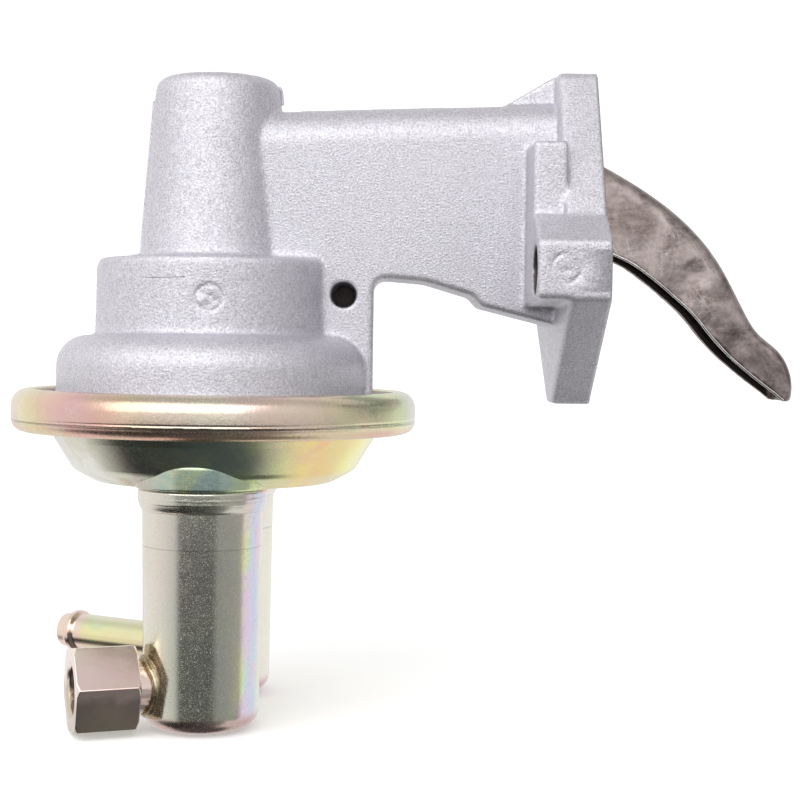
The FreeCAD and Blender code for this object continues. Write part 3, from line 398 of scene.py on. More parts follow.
def build_zinc_film():
    group, given = new_group(
        "zinc_film",
        [("Colour", "Color", rgba(0.7)), ("Second Colour", "Color", rgba(0.7)), ("Cloud Size", "Float", 0.012),
         ("Specks", "Float", 0.1), ("Roughness", "Float", 0.2)],
        [("Color", "Color"), ("Roughness", "Float"), ("Height", "Float")])
    place = own_place(group)
    scale = calc(group, "DIVIDE", 1.0, given["Cloud Size"])
    cloud = noise(group, place, scale, detail=3.0, roughness=0.55, distortion=0.6)
    share = smooth_range(group, cloud, 0.35, 0.68)
    film = blend_colour(group, share, given["Colour"], given["Second Colour"])
    drift = noise(group, place, times(group, scale, 0.6), detail=1.0, roughness=0.4)
    hue = smooth_range(group, drift, 0.3, 0.7, 0.47, 0.53)
    film = made(group, "ShaderNodeHueSaturation", {"Hue": hue, "Saturation": 1.0, "Value": 1.0, "Fac": 1.0,
                                                   "Color": film})
    speck = noise(group, place, 5200.0, detail=0.0, roughness=0.5)
    spots = smooth_range(group, speck, 0.63, 0.72)
    dark = times(group, spots, given["Specks"])
    film = blend_colour(group, times(group, dark, 0.6), film, rgba((0.16, 0.12, 0.09)))
    dull = smooth_range(group, noise(group, place, 160.0, detail=4.0, roughness=0.65), 0.45, 0.75, 0.0, 0.05)
    rough = plus(group, given["Roughness"], plus(group, dull, times(group, dark, 4.0)), clamp=True)
    ripple = noise(group, place, 900.0, detail=2.0, roughness=0.5)
    height = plus(group, times(group, ripple, 0.7), times(group, speck, 0.3))
    put(group, "NodeGroupOutput", {"Color": film, "Roughness": rough, "Height": height})
    return group


zinc_film = build_zinc_film()
print("group:", zinc_film.name)

# %% Group: fine scratches


def build_scratches():
    group, given = new_group(
        "scratches", [("Length", "Float", 0.012), ("Width", "Float", 0.00025), ("Amount", "Float", 0.5)],
        [("Mask", "Float")])
    place = own_place(group)
    masks = []
    for angles in ((0.3, 0.6, 0.9), (1.2, -0.4, 2.2), (-0.7, 1.9, 0.2)):
        turned = made(group, "ShaderNodeVectorRotate", {"Vector": place, "Rotation": angles},
                      rotation_type="EULER_XYZ")
        stretch = made(group, "ShaderNodeCombineXYZ", {
            0: calc(group, "DIVIDE", 0.4, given["Length"]), 1: calc(group, "DIVIDE", 0.12, given["Width"]),
            2: calc(group, "DIVIDE", 0.12, given["Width"])})
        spread = vector_calc(group, "MULTIPLY", turned, stretch)
        line = noise(group, spread, 1.0, detail=0.0, roughness=0.0)
        off = calc(group, "ABSOLUTE", calc(group, "SUBTRACT", line, 0.62))
        masks.append(smooth_range(group, off, 0.004, 0.016, 1.0, 0.0))
    any_line = calc(group, "MAXIMUM", masks[0], calc(group, "MAXIMUM", masks[1], masks[2]))
    worn = smooth_range(group, noise(group, place, 90.0, detail=2.0), 0.42, 0.62)
    mask = times(group, times(group, any_line, worn), given["Amount"], clamp=True)
    put(group, "NodeGroupOutput", {"Mask": mask})
    return group


scratches = build_scratches()
print("group:", scratches.name)

# %% Group: blotches of hardened steel


def build_steel_blotches():
    group, given = new_group(
        "steel_blotches",
        [("Dark", "Color", rgba(0.2)), ("Light", "Color", rgba(0.5)), ("Blotch Size", "Float", 0.008),
         ("Roughness", "Float", 0.4)],
        [("Color", "Color"), ("Roughness", "Float"), ("Height", "Float")])
    place = own_place(group)
    scale = calc(group, "DIVIDE", 1.0, given["Blotch Size"])
    large = noise(group, place, scale, detail=4.0, roughness=0.6, distortion=0.8)
    small = noise(group, place, times(group, scale, 9.0), detail=3.0, roughness=0.7)
    stretched = vector_calc(group, "MULTIPLY", place, (0.35, 0.35, 1.0))
    streaks = noise(group, stretched, times(group, scale, 6.0), detail=3.0, roughness=0.6)
    small = plus(group, times(group, small, 0.5), times(group, streaks, 0.5))
    mixed = plus(group, times(group, large, 0.66), times(group, small, 0.34))
    colour = blend_colour(group, smooth_range(group, mixed, 0.37, 0.66), given["Dark"], given["Light"])
    rough = plus(group, given["Roughness"], smooth_range(group, large, 0.3, 0.7, -0.08, 0.12), clamp=True)
    put(group, "NodeGroupOutput", {"Color": colour, "Roughness": rough, "Height": small})
    return group


steel_blotches = build_steel_blotches()
print("group:", steel_blotches.name)

# %% [markdown]
# ## Starting a finish
# Every finish begins with an empty material and its Principled shader. Numbers that are the same all over the
# surface are typed into the shader's own sockets. At the end the colour and the roughness are linked, and a Bump
# node turns a height into the normal.

# %% Helpers: begin and end a finish


def new_finish(name, metallic=1.0):
    material = bpy.data.materials.new(name)
    material.use_nodes = True
    material.node_tree.nodes["Principled BSDF"].inputs["Metallic"].default_value = metallic
    return material, material.node_tree


def finished(material, colour, rough, height, depth, strength=0.6):
    tree = material.node_tree
    normal = made(tree, "ShaderNodeBump", {"Height": height, "Distance": depth, "Strength": strength})
    fill(tree, tree.nodes["Principled BSDF"], {"Base Color": colour, "Roughness": rough, "Normal": normal})
    return material


# %% [markdown]
# ## The casting's finish
# The real casting is tumbled and blasted with fine shot, so it is light grey, a little violet, and covered with grain
# of less than half a millimetre. Only the machined mounting face, at x = 0, has no grain: a mask on the object's own
# x coordinate swaps in the marks of the milling cutter there. The two bolt holes and the small weep hole were drilled
# after blasting, and masks round the three drill axes paint shade on their walls.

# %% Finish: blasted aluminium with a milled face
FLANGE_BACK = -19.5 * MM
CUTTER_CENTRE, CUTTER_WAVES = (0.0, 0.03, -0.05), 9000.0
# A point on each drill's axis, the directions across that axis, and the radius, in mm.
ACROSS_X, ACROSS_Y = (0.0, 1.0, 1.0), (1.0, 0.0, 1.0)
NEAR_BOLT, FAR_BOLT = ((0.0, -32.5, 0.0), ACROSS_X, 5.75), ((0.0, 32.5, 0.0), ACROSS_X, 5.75)
WEEP_HOLE = ((-60.35, 0.0, -5.6), ACROSS_Y, 2.75)


def drilled(tree, place, hole):
    point, across, radius = hole
    away = vector_calc(tree, "SUBTRACT", place, Vector(point) * MM)
    reach = vector_calc(tree, "LENGTH", vector_calc(tree, "MULTIPLY", away, across))
    return smooth_range(tree, reach, (radius - 0.2) * MM, (radius + 0.1) * MM, 1.0, 0.0)


def cast_finish():
    material, tree = new_finish("blasted_aluminium", metallic=0.85)
    grain = use_group(tree, blasted_grain, {"Colour": rgba((0.665, 0.648, 0.695)), "Grain Size": 0.00048,
                                            "Contrast": 0.64, "Roughness": 0.46})
    place = own_place(tree)
    along = parts_of(tree, place)[0]
    milled = smooth_range(tree, along, -0.12 * MM, -0.04 * MM)
    arcs = vector_calc(tree, "LENGTH", vector_calc(tree, "SUBTRACT", place, CUTTER_CENTRE))
    lines = calc(tree, "SINE", times(tree, arcs, CUTTER_WAVES))
    cutter = smooth_range(tree, lines, -1.0, 1.0, 0.55, 0.72)
    milled_colour = made(tree, "ShaderNodeCombineColor", {0: cutter, 1: cutter, 2: cutter})
    colour = blend_colour(tree, milled, grain["Color"], milled_colour)
    flange = smooth_range(tree, along, FLANGE_BACK - 0.5 * MM, FLANGE_BACK + 0.5 * MM)
    bolts = calc(tree, "MAXIMUM", drilled(tree, place, NEAR_BOLT), drilled(tree, place, FAR_BOLT))
    hole_shade = calc(tree, "MAXIMUM", times(tree, bolts, flange), drilled(tree, place, WEEP_HOLE))
    # Painted shade: the walls of the bolt holes and the weep hole are darkened.
    colour = blend_colour(tree, hole_shade, colour, rgba((0.10, 0.085, 0.08)))
    rough = times(tree, grain["Roughness"], smooth_range(tree, milled, 0.0, 1.0, 1.0, 0.6))
    height = made(tree, "ShaderNodeMix", {0: milled, 2: grain["Height"], 3: times(tree, lines, 0.06)})
    return finished(material, colour, rough, height, 0.25 * MM, 0.9)


blasted_aluminium = cast_finish()
print("finish:", blasted_aluminium.name)

# %% [markdown]
# ## The yellow zinc plate
# Yellow passivated zinc is a thin film over bright metal, so its colour wanders from silver through straw and olive
# to pink and green, and its iridescent sheen changes with the angle of view. A ramp that follows the turn round the
# piece's own axis sets upright bands of these hues, partly the film's own colours and partly painted sheen and
# reflection fixed on the piece, and the film group breaks them up.

# %% Helper: zinc round an axis
# film_sheen_bands and second_film_sheen_bands are the two colours that drift into each other: the film's hues and its
# painted sheen. foot is (levels, tint, share) of a tinted foot; on the cans its dark pink tint is a painted
# reflection of the dark floor. line is the height of a faint dark ring painted round the piece.


def zinc_finish(name, axis, film_sheen_bands, second_film_sheen_bands, roughness, cloud=0.012, specks=0.12, ripple=0.02, foot=None,
                scratch=0.25, line=None):
    material, tree = new_finish(name)
    around = use_group(tree, around_axis, {"Axis": (axis.x, axis.y, 0.0)})
    wobble = noise(tree, own_place(tree), 45.0, detail=2.0)
    turn = plus(tree, around["Turn"], smooth_range(tree, wobble, 0.25, 0.75, -0.012, 0.012))
    # Upright bands round the axis: the film's hues and its painted iridescent sheen.
    colour = ramp(tree, turn, film_sheen_bands)
    second = ramp(tree, turn, second_film_sheen_bands)
    if foot is not None:
        # The tint towards the foot: on the cans it is a painted reflection of the dark floor.
        (low, high), tint, share = foot
        near_foot = smooth_range(tree, around["Height"], low * MM, high * MM, share, 0.0)
        colour = blend_colour(tree, near_foot, colour, rgba(tint))
        second = blend_colour(tree, near_foot, second, rgba(tint))
    film = use_group(tree, zinc_film, {"Colour": colour, "Second Colour": second, "Cloud Size": cloud,
                                       "Specks": specks, "Roughness": roughness})
    marks = use_group(tree, scratches, {"Length": 0.015, "Width": 0.0003, "Amount": scratch})
    worn = blend_colour(tree, marks["Mask"], film["Color"], rgba((0.80, 0.78, 0.72)))
    # A faint dark ring painted round the piece at the given height.
    if line is not None:
        off = calc(tree, "ABSOLUTE", calc(tree, "SUBTRACT", around["Height"], line * MM))
        faint_dark_ring = smooth_range(tree, off, 0.05 * MM, 0.2 * MM, 0.3, 0.0)
        worn = blend_colour(tree, faint_dark_ring, worn, rgba((0.16, 0.14, 0.12)))
    rough = plus(tree, film["Roughness"], times(tree, marks["Mask"], 0.15))
    return finished(material, worn, rough, film["Height"], ripple * MM)


# %% Colours of the film, and levels in mm
SILVER, STRAW = (0.80, 0.78, 0.72), (0.84, 0.78, 0.50)
PINK, ROSE, PEACH = (0.80, 0.58, 0.58), (0.72, 0.50, 0.55), (0.82, 0.64, 0.50)
OLIVE, GREEN, LEAF = (0.58, 0.56, 0.38), (0.60, 0.68, 0.48), (0.70, 0.76, 0.44)
TEAL, VIOLET = (0.42, 0.56, 0.50), (0.66, 0.58, 0.72)
COPPER, CORAL, BRICK = (0.72, 0.52, 0.38), (0.72, 0.46, 0.46), (0.70, 0.44, 0.44)
BRASS, TAUPE, SALMON = (0.70, 0.50, 0.36), (0.68, 0.60, 0.50), (0.78, 0.56, 0.50)
SAND, MUD, AMBER = (0.66, 0.65, 0.57), (0.62, 0.62, 0.54), (0.90, 0.80, 0.30)
RING_FOOT, CAN_FOOT, CAN_LINE = (-38.5, -36.0), (-105.6, -102.6), -64.9
print("ring foot", RING_FOOT, "can foot", CAN_FOOT, "can line", CAN_LINE)

# %% Finishes: ring, bowl and cans
ring_zinc = zinc_finish(
    "zinc_ring", PUMP_AXIS,
    [(0.0, OLIVE), (0.08, STRAW), (0.16, PINK), (0.25, STRAW), (0.31, STRAW), (0.355, COPPER), (0.385, CORAL),
     (0.41, BRICK), (0.44, BRASS), (0.50, TAUPE), (0.55, SALMON), (0.60, PINK), (0.625, GREEN), (0.68, LEAF),
     (0.73, SILVER), (0.80, STRAW), (0.88, ROSE), (0.94, GREEN), (1.0, OLIVE)],
    [(0.0, STRAW), (0.25, SILVER), (0.34, (0.78, 0.62, 0.46)), (0.40, (0.74, 0.50, 0.42)), (0.46, OLIVE),
     (0.52, (0.70, 0.62, 0.54)), (0.60, PEACH), (0.66, STRAW), (0.74, SILVER), (1.0, STRAW)],
    0.23, cloud=0.010, specks=0.06, ripple=0.06, foot=(RING_FOOT, (0.80, 0.56, 0.40), 0.85))
bowl_zinc = zinc_finish(
    "zinc_bowl", PUMP_AXIS,
    [(0.0, STRAW), (0.12, OLIVE), (0.24, SILVER), (0.38, SILVER), (0.42, (0.52, 0.46, 0.38)), (0.46, TEAL),
     (0.53, TEAL), (0.56, OLIVE), (0.60, AMBER), (0.67, (0.88, 0.80, 0.34)), (0.73, (0.90, 0.84, 0.55)),
     (0.76, SILVER), (0.86, PINK), (1.0, STRAW)],
    [(0.0, GREEN), (0.24, SILVER), (0.38, (0.66, 0.60, 0.50)), (0.46, GREEN), (0.55, LEAF),
     (0.62, (0.92, 0.68, 0.34)), (0.72, (0.90, 0.84, 0.50)), (1.0, GREEN)],
    0.17, cloud=0.009, specks=0.04, ripple=0.02)


def can_zinc(name, axis, edge):
    """edge holds the four colours of the narrow bands near the can's right outline, a painted iridescent sheen."""
    return zinc_finish(
        name, axis,
        [(0.0, SILVER), (0.10, STRAW), (0.22, VIOLET), (0.27, PINK), (0.31, SILVER), (0.37, (0.74, 0.70, 0.60)),
         (0.44, (0.66, 0.65, 0.56)), (0.55, MUD), (0.605, SAND), (0.625, (0.80, 0.74, 0.50)), (0.645, edge[0]),
         (0.662, edge[1]), (0.68, edge[2]), (0.70, edge[3]), (0.73, SILVER), (0.84, STRAW), (0.92, GREEN),
         (1.0, SILVER)],
        [(0.0, STRAW), (0.30, (0.78, 0.74, 0.62)), (0.45, (0.64, 0.63, 0.53)), (0.61, (0.68, 0.67, 0.56)),
         (0.65, edge[2]), (0.69, edge[1]), (0.76, STRAW), (1.0, STRAW)],
        0.15, cloud=0.014, specks=0.10, ripple=0.03, foot=(CAN_FOOT, (0.58, 0.38, 0.38), 0.92), scratch=0.0,
        line=CAN_LINE)


outlet_zinc = can_zinc("zinc_outlet_can", OUTLET_AXIS,
                       ((0.66, 0.76, 0.46), (0.56, 0.70, 0.80), (0.74, 0.58, 0.74), (0.82, 0.64, 0.62)))
inlet_zinc = can_zinc("zinc_inlet_can", INLET_AXIS, (STRAW, SILVER, (0.88, 0.80, 0.68), SILVER))
print("finishes:", ring_zinc.name, bowl_zinc.name, outlet_zinc.name, inlet_zinc.name)

# %% [markdown]
# ## The two fittings
# The hexagon and the hose tube were plated in another bath: they are pinker, and the hexagon's flat sides change
# colour from one to the next. Their bands run along the object's own height, because both lie on their side; low
# bands are darker and high ones lighter, partly the film's colour and partly painted reflection of the dark floor and
# the bright panels above. The record says where each port's mouth is and which way it points. A mask round that axis
# paints shade in the bore, and a mask along it turns the tube's beaded tip pink.

# %% Finishes: hexagon and hose tube
mounts = {m["name"]: (Vector(m["pos_m"]), Vector(m["axis"])) for m in frame["record"]["mounts"]}
print("ports:", {name: tuple(round(v / MM, 1) for v in mounts[name][0]) for name in ("outlet_port", "inlet_hose")})


def fitting_finish(name, node, film_and_reflection_levels, roughness, port, bore_radius, tip=0.0):
    mouth, way = mounts[port]
    low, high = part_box(node)
    material, tree = new_finish(name)
    place = own_place(tree)
    height = parts_of(tree, place)[2]
    share = made(tree, "ShaderNodeMapRange", {"Value": height, "From Min": low.z, "From Max": high.z})
    wobble = smooth_range(tree, noise(tree, place, 160.0, detail=3.0), 0.25, 0.75, -0.06, 0.06)
    # Colour by height: the film's hues, with painted reflection, darker low and lighter high.
    colour = ramp(tree, plus(tree, share, wobble), film_and_reflection_levels)
    second = blend_colour(tree, 0.6, rgba(PEACH), colour)
    film = use_group(tree, zinc_film, {"Colour": colour, "Second Colour": second, "Cloud Size": 0.02,
                                       "Specks": 0.0, "Roughness": roughness})
    away = vector_calc(tree, "SUBTRACT", place, mouth)
    along = vector_calc(tree, "DOT_PRODUCT", away, way)
    at_tip = smooth_range(tree, along, -5.5 * MM, -3.5 * MM, 0.0, tip)
    shown = blend_colour(tree, at_tip, film["Color"], rgba((0.88, 0.66, 0.60)))
    reach = vector_calc(tree, "LENGTH", vector_calc(tree, "CROSS_PRODUCT", away, way))
    # Painted shade in the bore: a dark colour on its walls.
    bore_shade = smooth_range(tree, reach, bore_radius, bore_radius + 0.15 * MM, 0.75, 0.0)
    shown = blend_colour(tree, bore_shade, shown, rgba((0.10, 0.07, 0.05)))
    return finished(material, shown, film["Roughness"], film["Height"], 0.02 * MM)


hex_zinc = fitting_finish(
    "zinc_hexagon", "outlet_fitting",
    [(0.0, (0.50, 0.42, 0.36)), (0.42, (0.56, 0.44, 0.40)), (0.52, (0.92, 0.74, 0.68)), (0.75, (0.94, 0.76, 0.72)),
     (1.0, (0.92, 0.84, 0.74))], 0.20, "outlet_port", 5.7 * MM)
tube_zinc = fitting_finish(
    "zinc_hose_tube", "inlet_nipple",
    [(0.0, (0.55, 0.38, 0.28)), (0.25, PEACH), (0.5, (0.86, 0.74, 0.42)), (0.75, LEAF), (1.0, SILVER)],
    0.18, "inlet_hose", 3.6 * MM, tip=0.75)
print("finishes:", hex_zinc.name, tube_zinc.name)

# %% [markdown]
# ## The rocker arm's hardened steel
# The arm is pressed and case hardened, which leaves brown and grey blotches, and the surface is scratched from
# handling. Dark and light blotches come first, then streaks, then bright scratches on top. Inside the channel a mask
# picks the faces between the walls that look down or back and paints dark shade on them. The ground, brazed and
# sintered pieces use the same finish with smaller blotches and their own two colours.

# %% Finish: mottled steel


def steel_finish(name, dark, light, blotch, roughness, scratch, grain=0.06, inside=None):
    material, tree = new_finish(name)
    blotches = use_group(tree, steel_blotches, {"Dark": rgba(dark), "Light": rgba(light), "Blotch Size": blotch,
                                                "Roughness": roughness})
    marks = use_group(tree, scratches, {"Length": 0.012, "Width": 0.00022, "Amount": scratch})
    worn = blend_colour(tree, marks["Mask"], blotches["Color"], rgba((0.78, 0.74, 0.72)))
    # Painted shade: the faces inside the channel turn near black where the walls shut out the light.
    if inside is not None:
        worn = blend_colour(tree, inside(tree), worn, rgba((0.085, 0.066, 0.060)))
    return finished(material, worn, blotches["Roughness"], blotches["Height"], grain * MM)


# Half the width inside the channel, in mm, and the two ends between which the painted shade fades.
ARM_WALL_INSIDE = 6.3
SHADE_ENDS = ((ARM_WALL_INSIDE - 0.2) * MM, (ARM_WALL_INSIDE + 0.2) * MM)


def painted_channel_shade(tree):
    """Painted shade: 1 on the channel's inner faces, 0 elsewhere."""
    across = calc(tree, "ABSOLUTE", parts_of(tree, own_place(tree))[1])
    between = smooth_range(tree, across, *SHADE_ENDS, 1.0, 0.0)
    facing = put(tree, "ShaderNodeNewGeometry").outputs["Normal"]
    back_down = vector_calc(tree, "DOT_PRODUCT", facing, (-0.7, 0.0, -0.7))
    return times(tree, between, smooth_range(tree, back_down, -0.25, 0.05))


arm_steel = steel_finish("hardened_steel", (0.17, 0.135, 0.125), (0.50, 0.425, 0.41), 0.009, 0.31, 0.3,
                         inside=painted_channel_shade)
plain_steel = steel_finish("ground_steel", (0.50, 0.50, 0.51), (0.66, 0.66, 0.66), 0.004, 0.26, 0.3, grain=0.01)
spring_wire = steel_finish("spring_wire", (0.22, 0.22, 0.24), (0.38, 0.38, 0.40), 0.003, 0.32, 0.15, grain=0.01)
bare_edge = steel_finish("sheared_edge", (0.60, 0.57, 0.55), (0.85, 0.82, 0.80), 0.002, 0.22, 0.1, grain=0.01)
braze_metal = steel_finish("braze_metal", (0.34, 0.29, 0.18), (0.62, 0.56, 0.42), 0.0015, 0.22, 0.0, grain=0.08)
bronze = steel_finish("sintered_bronze", (0.40, 0.24, 0.11), (0.66, 0.44, 0.22), 0.0012, 0.42, 0.1, grain=0.03)
print("finishes:", arm_steel.name, plain_steel.name, spring_wire.name, bare_edge.name, bronze.name)

# %% [markdown]
# ## Rubber, cloth and fibre
# The oil seal is matt rubber, the diaphragm is rubber over woven cloth, and the valve discs are pressed fibre.
# They are inside the pump, but a reader who opens the model sees them, so each gets its own surface.

# %% Finishes: rubber, diaphragm cloth, valve fibre


def soft_finish(name, dark, light, size, depth, weave=False):
    material, tree = new_finish(name, metallic=0.0)
    place = own_place(tree)
    height = noise(tree, place, 1.0 / size, detail=3.0, roughness=0.6)
    if weave:
        parts = parts_of(tree, place)
        rows = [calc(tree, "SINE", times(tree, parts[i], math.tau / (0.8 * MM))) for i in (0, 1)]
        height = plus(tree, times(tree, times(tree, *rows), 0.5), times(tree, height, 0.4))
    colour = blend_colour(tree, smooth_range(tree, height, 0.2, 0.8), rgba(dark), rgba(light))
    return finished(material, colour, smooth_range(tree, height, 0.2, 0.8, 0.55, 0.75), height, depth)


seal_rubber = soft_finish("oil_proof_rubber", (0.012, 0.012, 0.012), (0.035, 0.035, 0.035), 0.6 * MM, 0.04 * MM)
diaphragm_cloth = soft_finish("rubbered_cloth", (0.02, 0.018, 0.016), (0.06, 0.052, 0.045), 0.5 * MM, 0.10 * MM, True)
valve_fibre = soft_finish("pressed_fibre", (0.03, 0.026, 0.022), (0.09, 0.075, 0.06), 0.3 * MM, 0.03 * MM)
print("finishes:", seal_rubber.name, diaphragm_cloth.name, valve_fibre.name)

# %% [markdown]
# ## Giving each piece its finish
# The record says which material slot each piece belongs to. Most pieces take the one finish of their slot, and the
# plated pieces each have their own bands, so they are named one by one.

# %% Assign the finishes
SLOT_FINISH = {"cast_aluminium": blasted_aluminium, "forged_steel": arm_steel, "plain_steel": plain_steel,
               "spring_steel": spring_wire, "bronze": bronze, "rubber": seal_rubber,
               "diaphragm_cloth": diaphragm_cloth, "valve_plastic": valve_fibre}
OWN_FINISH = {"crimp_ring": ring_zinc, "fuel_cover": bowl_zinc, "outlet_can": outlet_zinc,
              "inlet_can": inlet_zinc, "outlet_fitting": hex_zinc, "inlet_nipple": tube_zinc}


def dress(piece, material):
    if not piece.material_slots:
        piece.data.materials.append(material)
    for holder in piece.material_slots:
        holder.material = material


for part in frame["record"]["subparts"]:
    dress(nodes[part["node"]], OWN_FINISH.get(part["node"]) or SLOT_FINISH[part["material_slot"]])

# %% [markdown]
# ## Helpers for pieces that stand in for a CAD piece
# A softened copy of a CAD piece keeps its place, so it rides on the same body and hides the plain one. `add_piece`
# says those three things once. `modify` adds a modifier with its settings, and `plain_mesh` runs the modifiers of an
# object and gives the result as a mesh.

# %% Helpers: add a piece, add a modifier, read the result


def add_piece(name, mesh, body, material, replaced=()):
    piece = add_object(name, mesh)
    mesh.materials.clear()
    mesh.materials.append(material)
    if replaced:
        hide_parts(*replaced)
    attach(piece, body)
    return piece


def modify(maker, name, kind, **settings):
    modifier = maker.modifiers.new(name, kind)
    for label, value in settings.items():
        setattr(modifier, label, value)
    return modifier


def plain_mesh(maker):
    bpy.context.view_layer.update()
    ready = maker.evaluated_get(bpy.context.evaluated_depsgraph_get())
    mesh = bpy.data.meshes.new_from_object(ready)
    bpy.data.objects.remove(maker)
    return mesh


# %% [markdown]
# ## Rounding a casting
# Molten metal never fills a sharp corner, so every edge of a die casting is round and every inner corner has a
# fillet. A bevel on each edge is hard to keep clean on such a shape. Here the CAD piece is turned into a fine,
# even grid with the voxel Remesh modifier, the grid is relaxed with Smooth, which rounds the edges by itself, and
# Decimate takes out the points that flat areas don't need. The mounting face was machined later and stays sharp,
# because its points are left out of the smoothing, are moved back into one plane and are shaded flat.

# %% Helper: a softened copy of a CAD piece


def merged_copy(node, join_flats=False):
    shape = bmesh.new()
    shape.from_mesh(nodes[node].data)
    bmesh.ops.remove_doubles(shape, verts=shape.verts, dist=0.002 * MM)
    if join_flats:
        bmesh.ops.dissolve_limit(shape, angle_limit=math.radians(2), verts=shape.verts, edges=shape.edges)
    mesh = bpy.data.meshes.new(node + "_copy")
    shape.to_mesh(mesh)
    shape.free()
    return mesh


def points_of(mesh):
    flat = np.empty(len(mesh.vertices) * 3)
    mesh.vertices.foreach_get("co", flat)
    return flat.reshape(-1, 3)


def set_points(mesh, points):
    mesh.vertices.foreach_set("co", points.ravel())
    mesh.update()


def gridded(node, voxel):
    maker = add_object(node + "_grid", merged_copy(node))
    modify(maker, "grid", "REMESH", mode="VOXEL", voxel_size=voxel)
    return plain_mesh(maker)


def softened(mesh, rounds, soft_points):
    maker = add_object("relaxing", mesh)
    group = maker.vertex_groups.new(name="soft")
    group.add(np.flatnonzero(soft_points).tolist(), 1.0, "REPLACE")
    modify(maker, "relax", "SMOOTH", factor=0.5, iterations=rounds, vertex_group=group.name)
    return plain_mesh(maker)


def thinned(mesh, most_triangles):
    triangles = sum(len(face.vertices) - 2 for face in mesh.polygons)
    maker = add_object("thinning", mesh)
    if triangles > most_triangles:
        modify(maker, "thin", "DECIMATE", ratio=most_triangles / triangles, use_collapse_triangulate=True)
    result = plain_mesh(maker)
    for face in result.polygons:
        face.use_smooth = True
    return result


# %% [markdown]
# ## Marks in the casting
# Ejector pins push a casting out of its mould and leave round marks. The one on the front ear is a groove that is
# deep on two sides, with a small gouge inside it, and the one on the step below the tower is rough inside. They are
# pressed into the grid's points before it is thinned, so they are real shape and not only shade.

# %% Helper: press a round mark into a front face


def press_mark(points, centre, radius, depth_at):
    """Moves the front points inside a circle in the XZ plane; depth_at(distance, angle, x, z) is in metres."""
    across = points[:, 0] - centre[0]
    upward = points[:, 2] - centre[2]
    distance = np.hypot(across, upward)
    near = (distance < radius * 1.3) & (np.abs(points[:, 1] - centre[1]) < 2.5 * MM)
    inside = np.clip((radius - distance[near]) / (0.35 * MM), 0.0, 1.0)
    depth = depth_at(distance[near], np.arctan2(upward[near], across[near]), across[near], upward[near])
    points[near, 1] += inside * depth
    return int(near.sum())


def crescent_depth(distance, angle, across, upward):
    side = np.abs(np.cos(angle - math.radians(140))) ** 2
    crease = 0.40 * MM * np.exp(-((distance - 3.35 * MM) / (0.35 * MM)) ** 2) * side
    away = np.hypot(across / (1.9 * MM), (upward + 0.5 * MM) / (0.9 * MM))
    gouge = 0.22 * MM * np.clip(1.0 - away, 0.0, 1.0)
    return crease + gouge + 0.05 * MM


def rough_depth(distance, angle, across, upward):
    bites = [(-1.6, 1.2, 1.3), (0.9, 1.9, 1.1), (1.7, -0.6, 1.2), (-0.4, -1.7, 1.4), (-2.1, -0.9, 0.8),
             (0.2, 0.3, 0.9)]
    depth = np.full(len(distance), 0.10 * MM)
    for x, z, size in bites:
        away = np.hypot(across - x * MM, upward - z * MM) / (size * MM)
        depth += 0.30 * MM * np.clip(1.0 - away, 0.0, 1.0) * (1 if x * z < 1 else -0.7)
    groove = np.exp(-((distance - 3.1 * MM) / (0.35 * MM)) ** 2)
    return depth + 0.26 * MM * groove


# %% Make the casting's skin
CAST_VOXEL = 0.5 * MM
CAST_ROUNDS, CAST_TRIANGLES = 9, 190000
# Points in front of STAYS_SHARP aren't relaxed, those in front of FACE_DEPTH go back to x = 0, and the faces in
# front of FLAT_DEPTH that look forward are shaded flat.
STAYS_SHARP, FACE_DEPTH, FLAT_DEPTH, LOOKS_FORWARD = -1.1 * MM, -0.28 * MM, -0.4 * MM, 0.98
EAR_MARK, EAR_MARK_R = Vector((-10.3, -40.0, 0.2)) * MM, 3.7 * MM
STEP_MARK, STEP_MARK_R = Vector((-90.9, -29.0, -7.2)) * MM, 3.6 * MM

grid = gridded("upper_housing", CAST_VOXEL)
print("casting grid points:", len(grid.vertices))
soft = softened(grid, CAST_ROUNDS, points_of(grid)[:, 0] < STAYS_SHARP)
points = points_of(soft)
points[points[:, 0] > FACE_DEPTH, 0] = 0.0
print("ear mark points:", press_mark(points, EAR_MARK, EAR_MARK_R, crescent_depth),
      "step mark points:", press_mark(points, STEP_MARK, STEP_MARK_R, rough_depth))
set_points(soft, points)
skin = add_piece("casting_skin", thinned(soft, CAST_TRIANGLES), "housing", blasted_aluminium,
                 ["upper_housing"])
for face in skin.data.polygons:
    if face.normal.x > LOOKS_FORWARD and face.center.x > FLAT_DEPTH:
        face.use_smooth = False
print("casting skin triangles:", len(skin.data.polygons))

# %% [markdown]
# ## A bead that follows a line
# Flash where the mould halves met, the braze round a fitting's neck and the bright sheared edge of the arm are all
# thin beads along a line. Geometry Nodes suit this: the line is a mesh of edges, Mesh to Curve makes it a curve,
# and Curve to Mesh sweeps a small oval along it. A noise pushes the surface in and out, so a weld looks like one.
# The tree's inputs are the bead's sizes, and each bead only sets its own numbers.

# %% Tree: bead along a line


def socket_ids(tree):
    return {item.name: item.identifier for item in tree.interface.items_tree if item.in_out == "INPUT"}


def new_tree(name, inputs):
    shape = ("Geometry", "Geometry")
    return new_group(name, [(*shape, None)] + inputs, [shape], use="Geometry")


def finish_tree(tree, geometry, material):
    smooth = made(tree, "GeometryNodeSetShadeSmooth", {"Geometry": geometry})
    real = made(tree, "GeometryNodeRealizeInstances", {"Geometry": smooth})
    dressed = made(tree, "GeometryNodeSetMaterial", {"Geometry": real, "Material": material})
    put(tree, "NodeGroupOutput", {"Geometry": dressed})


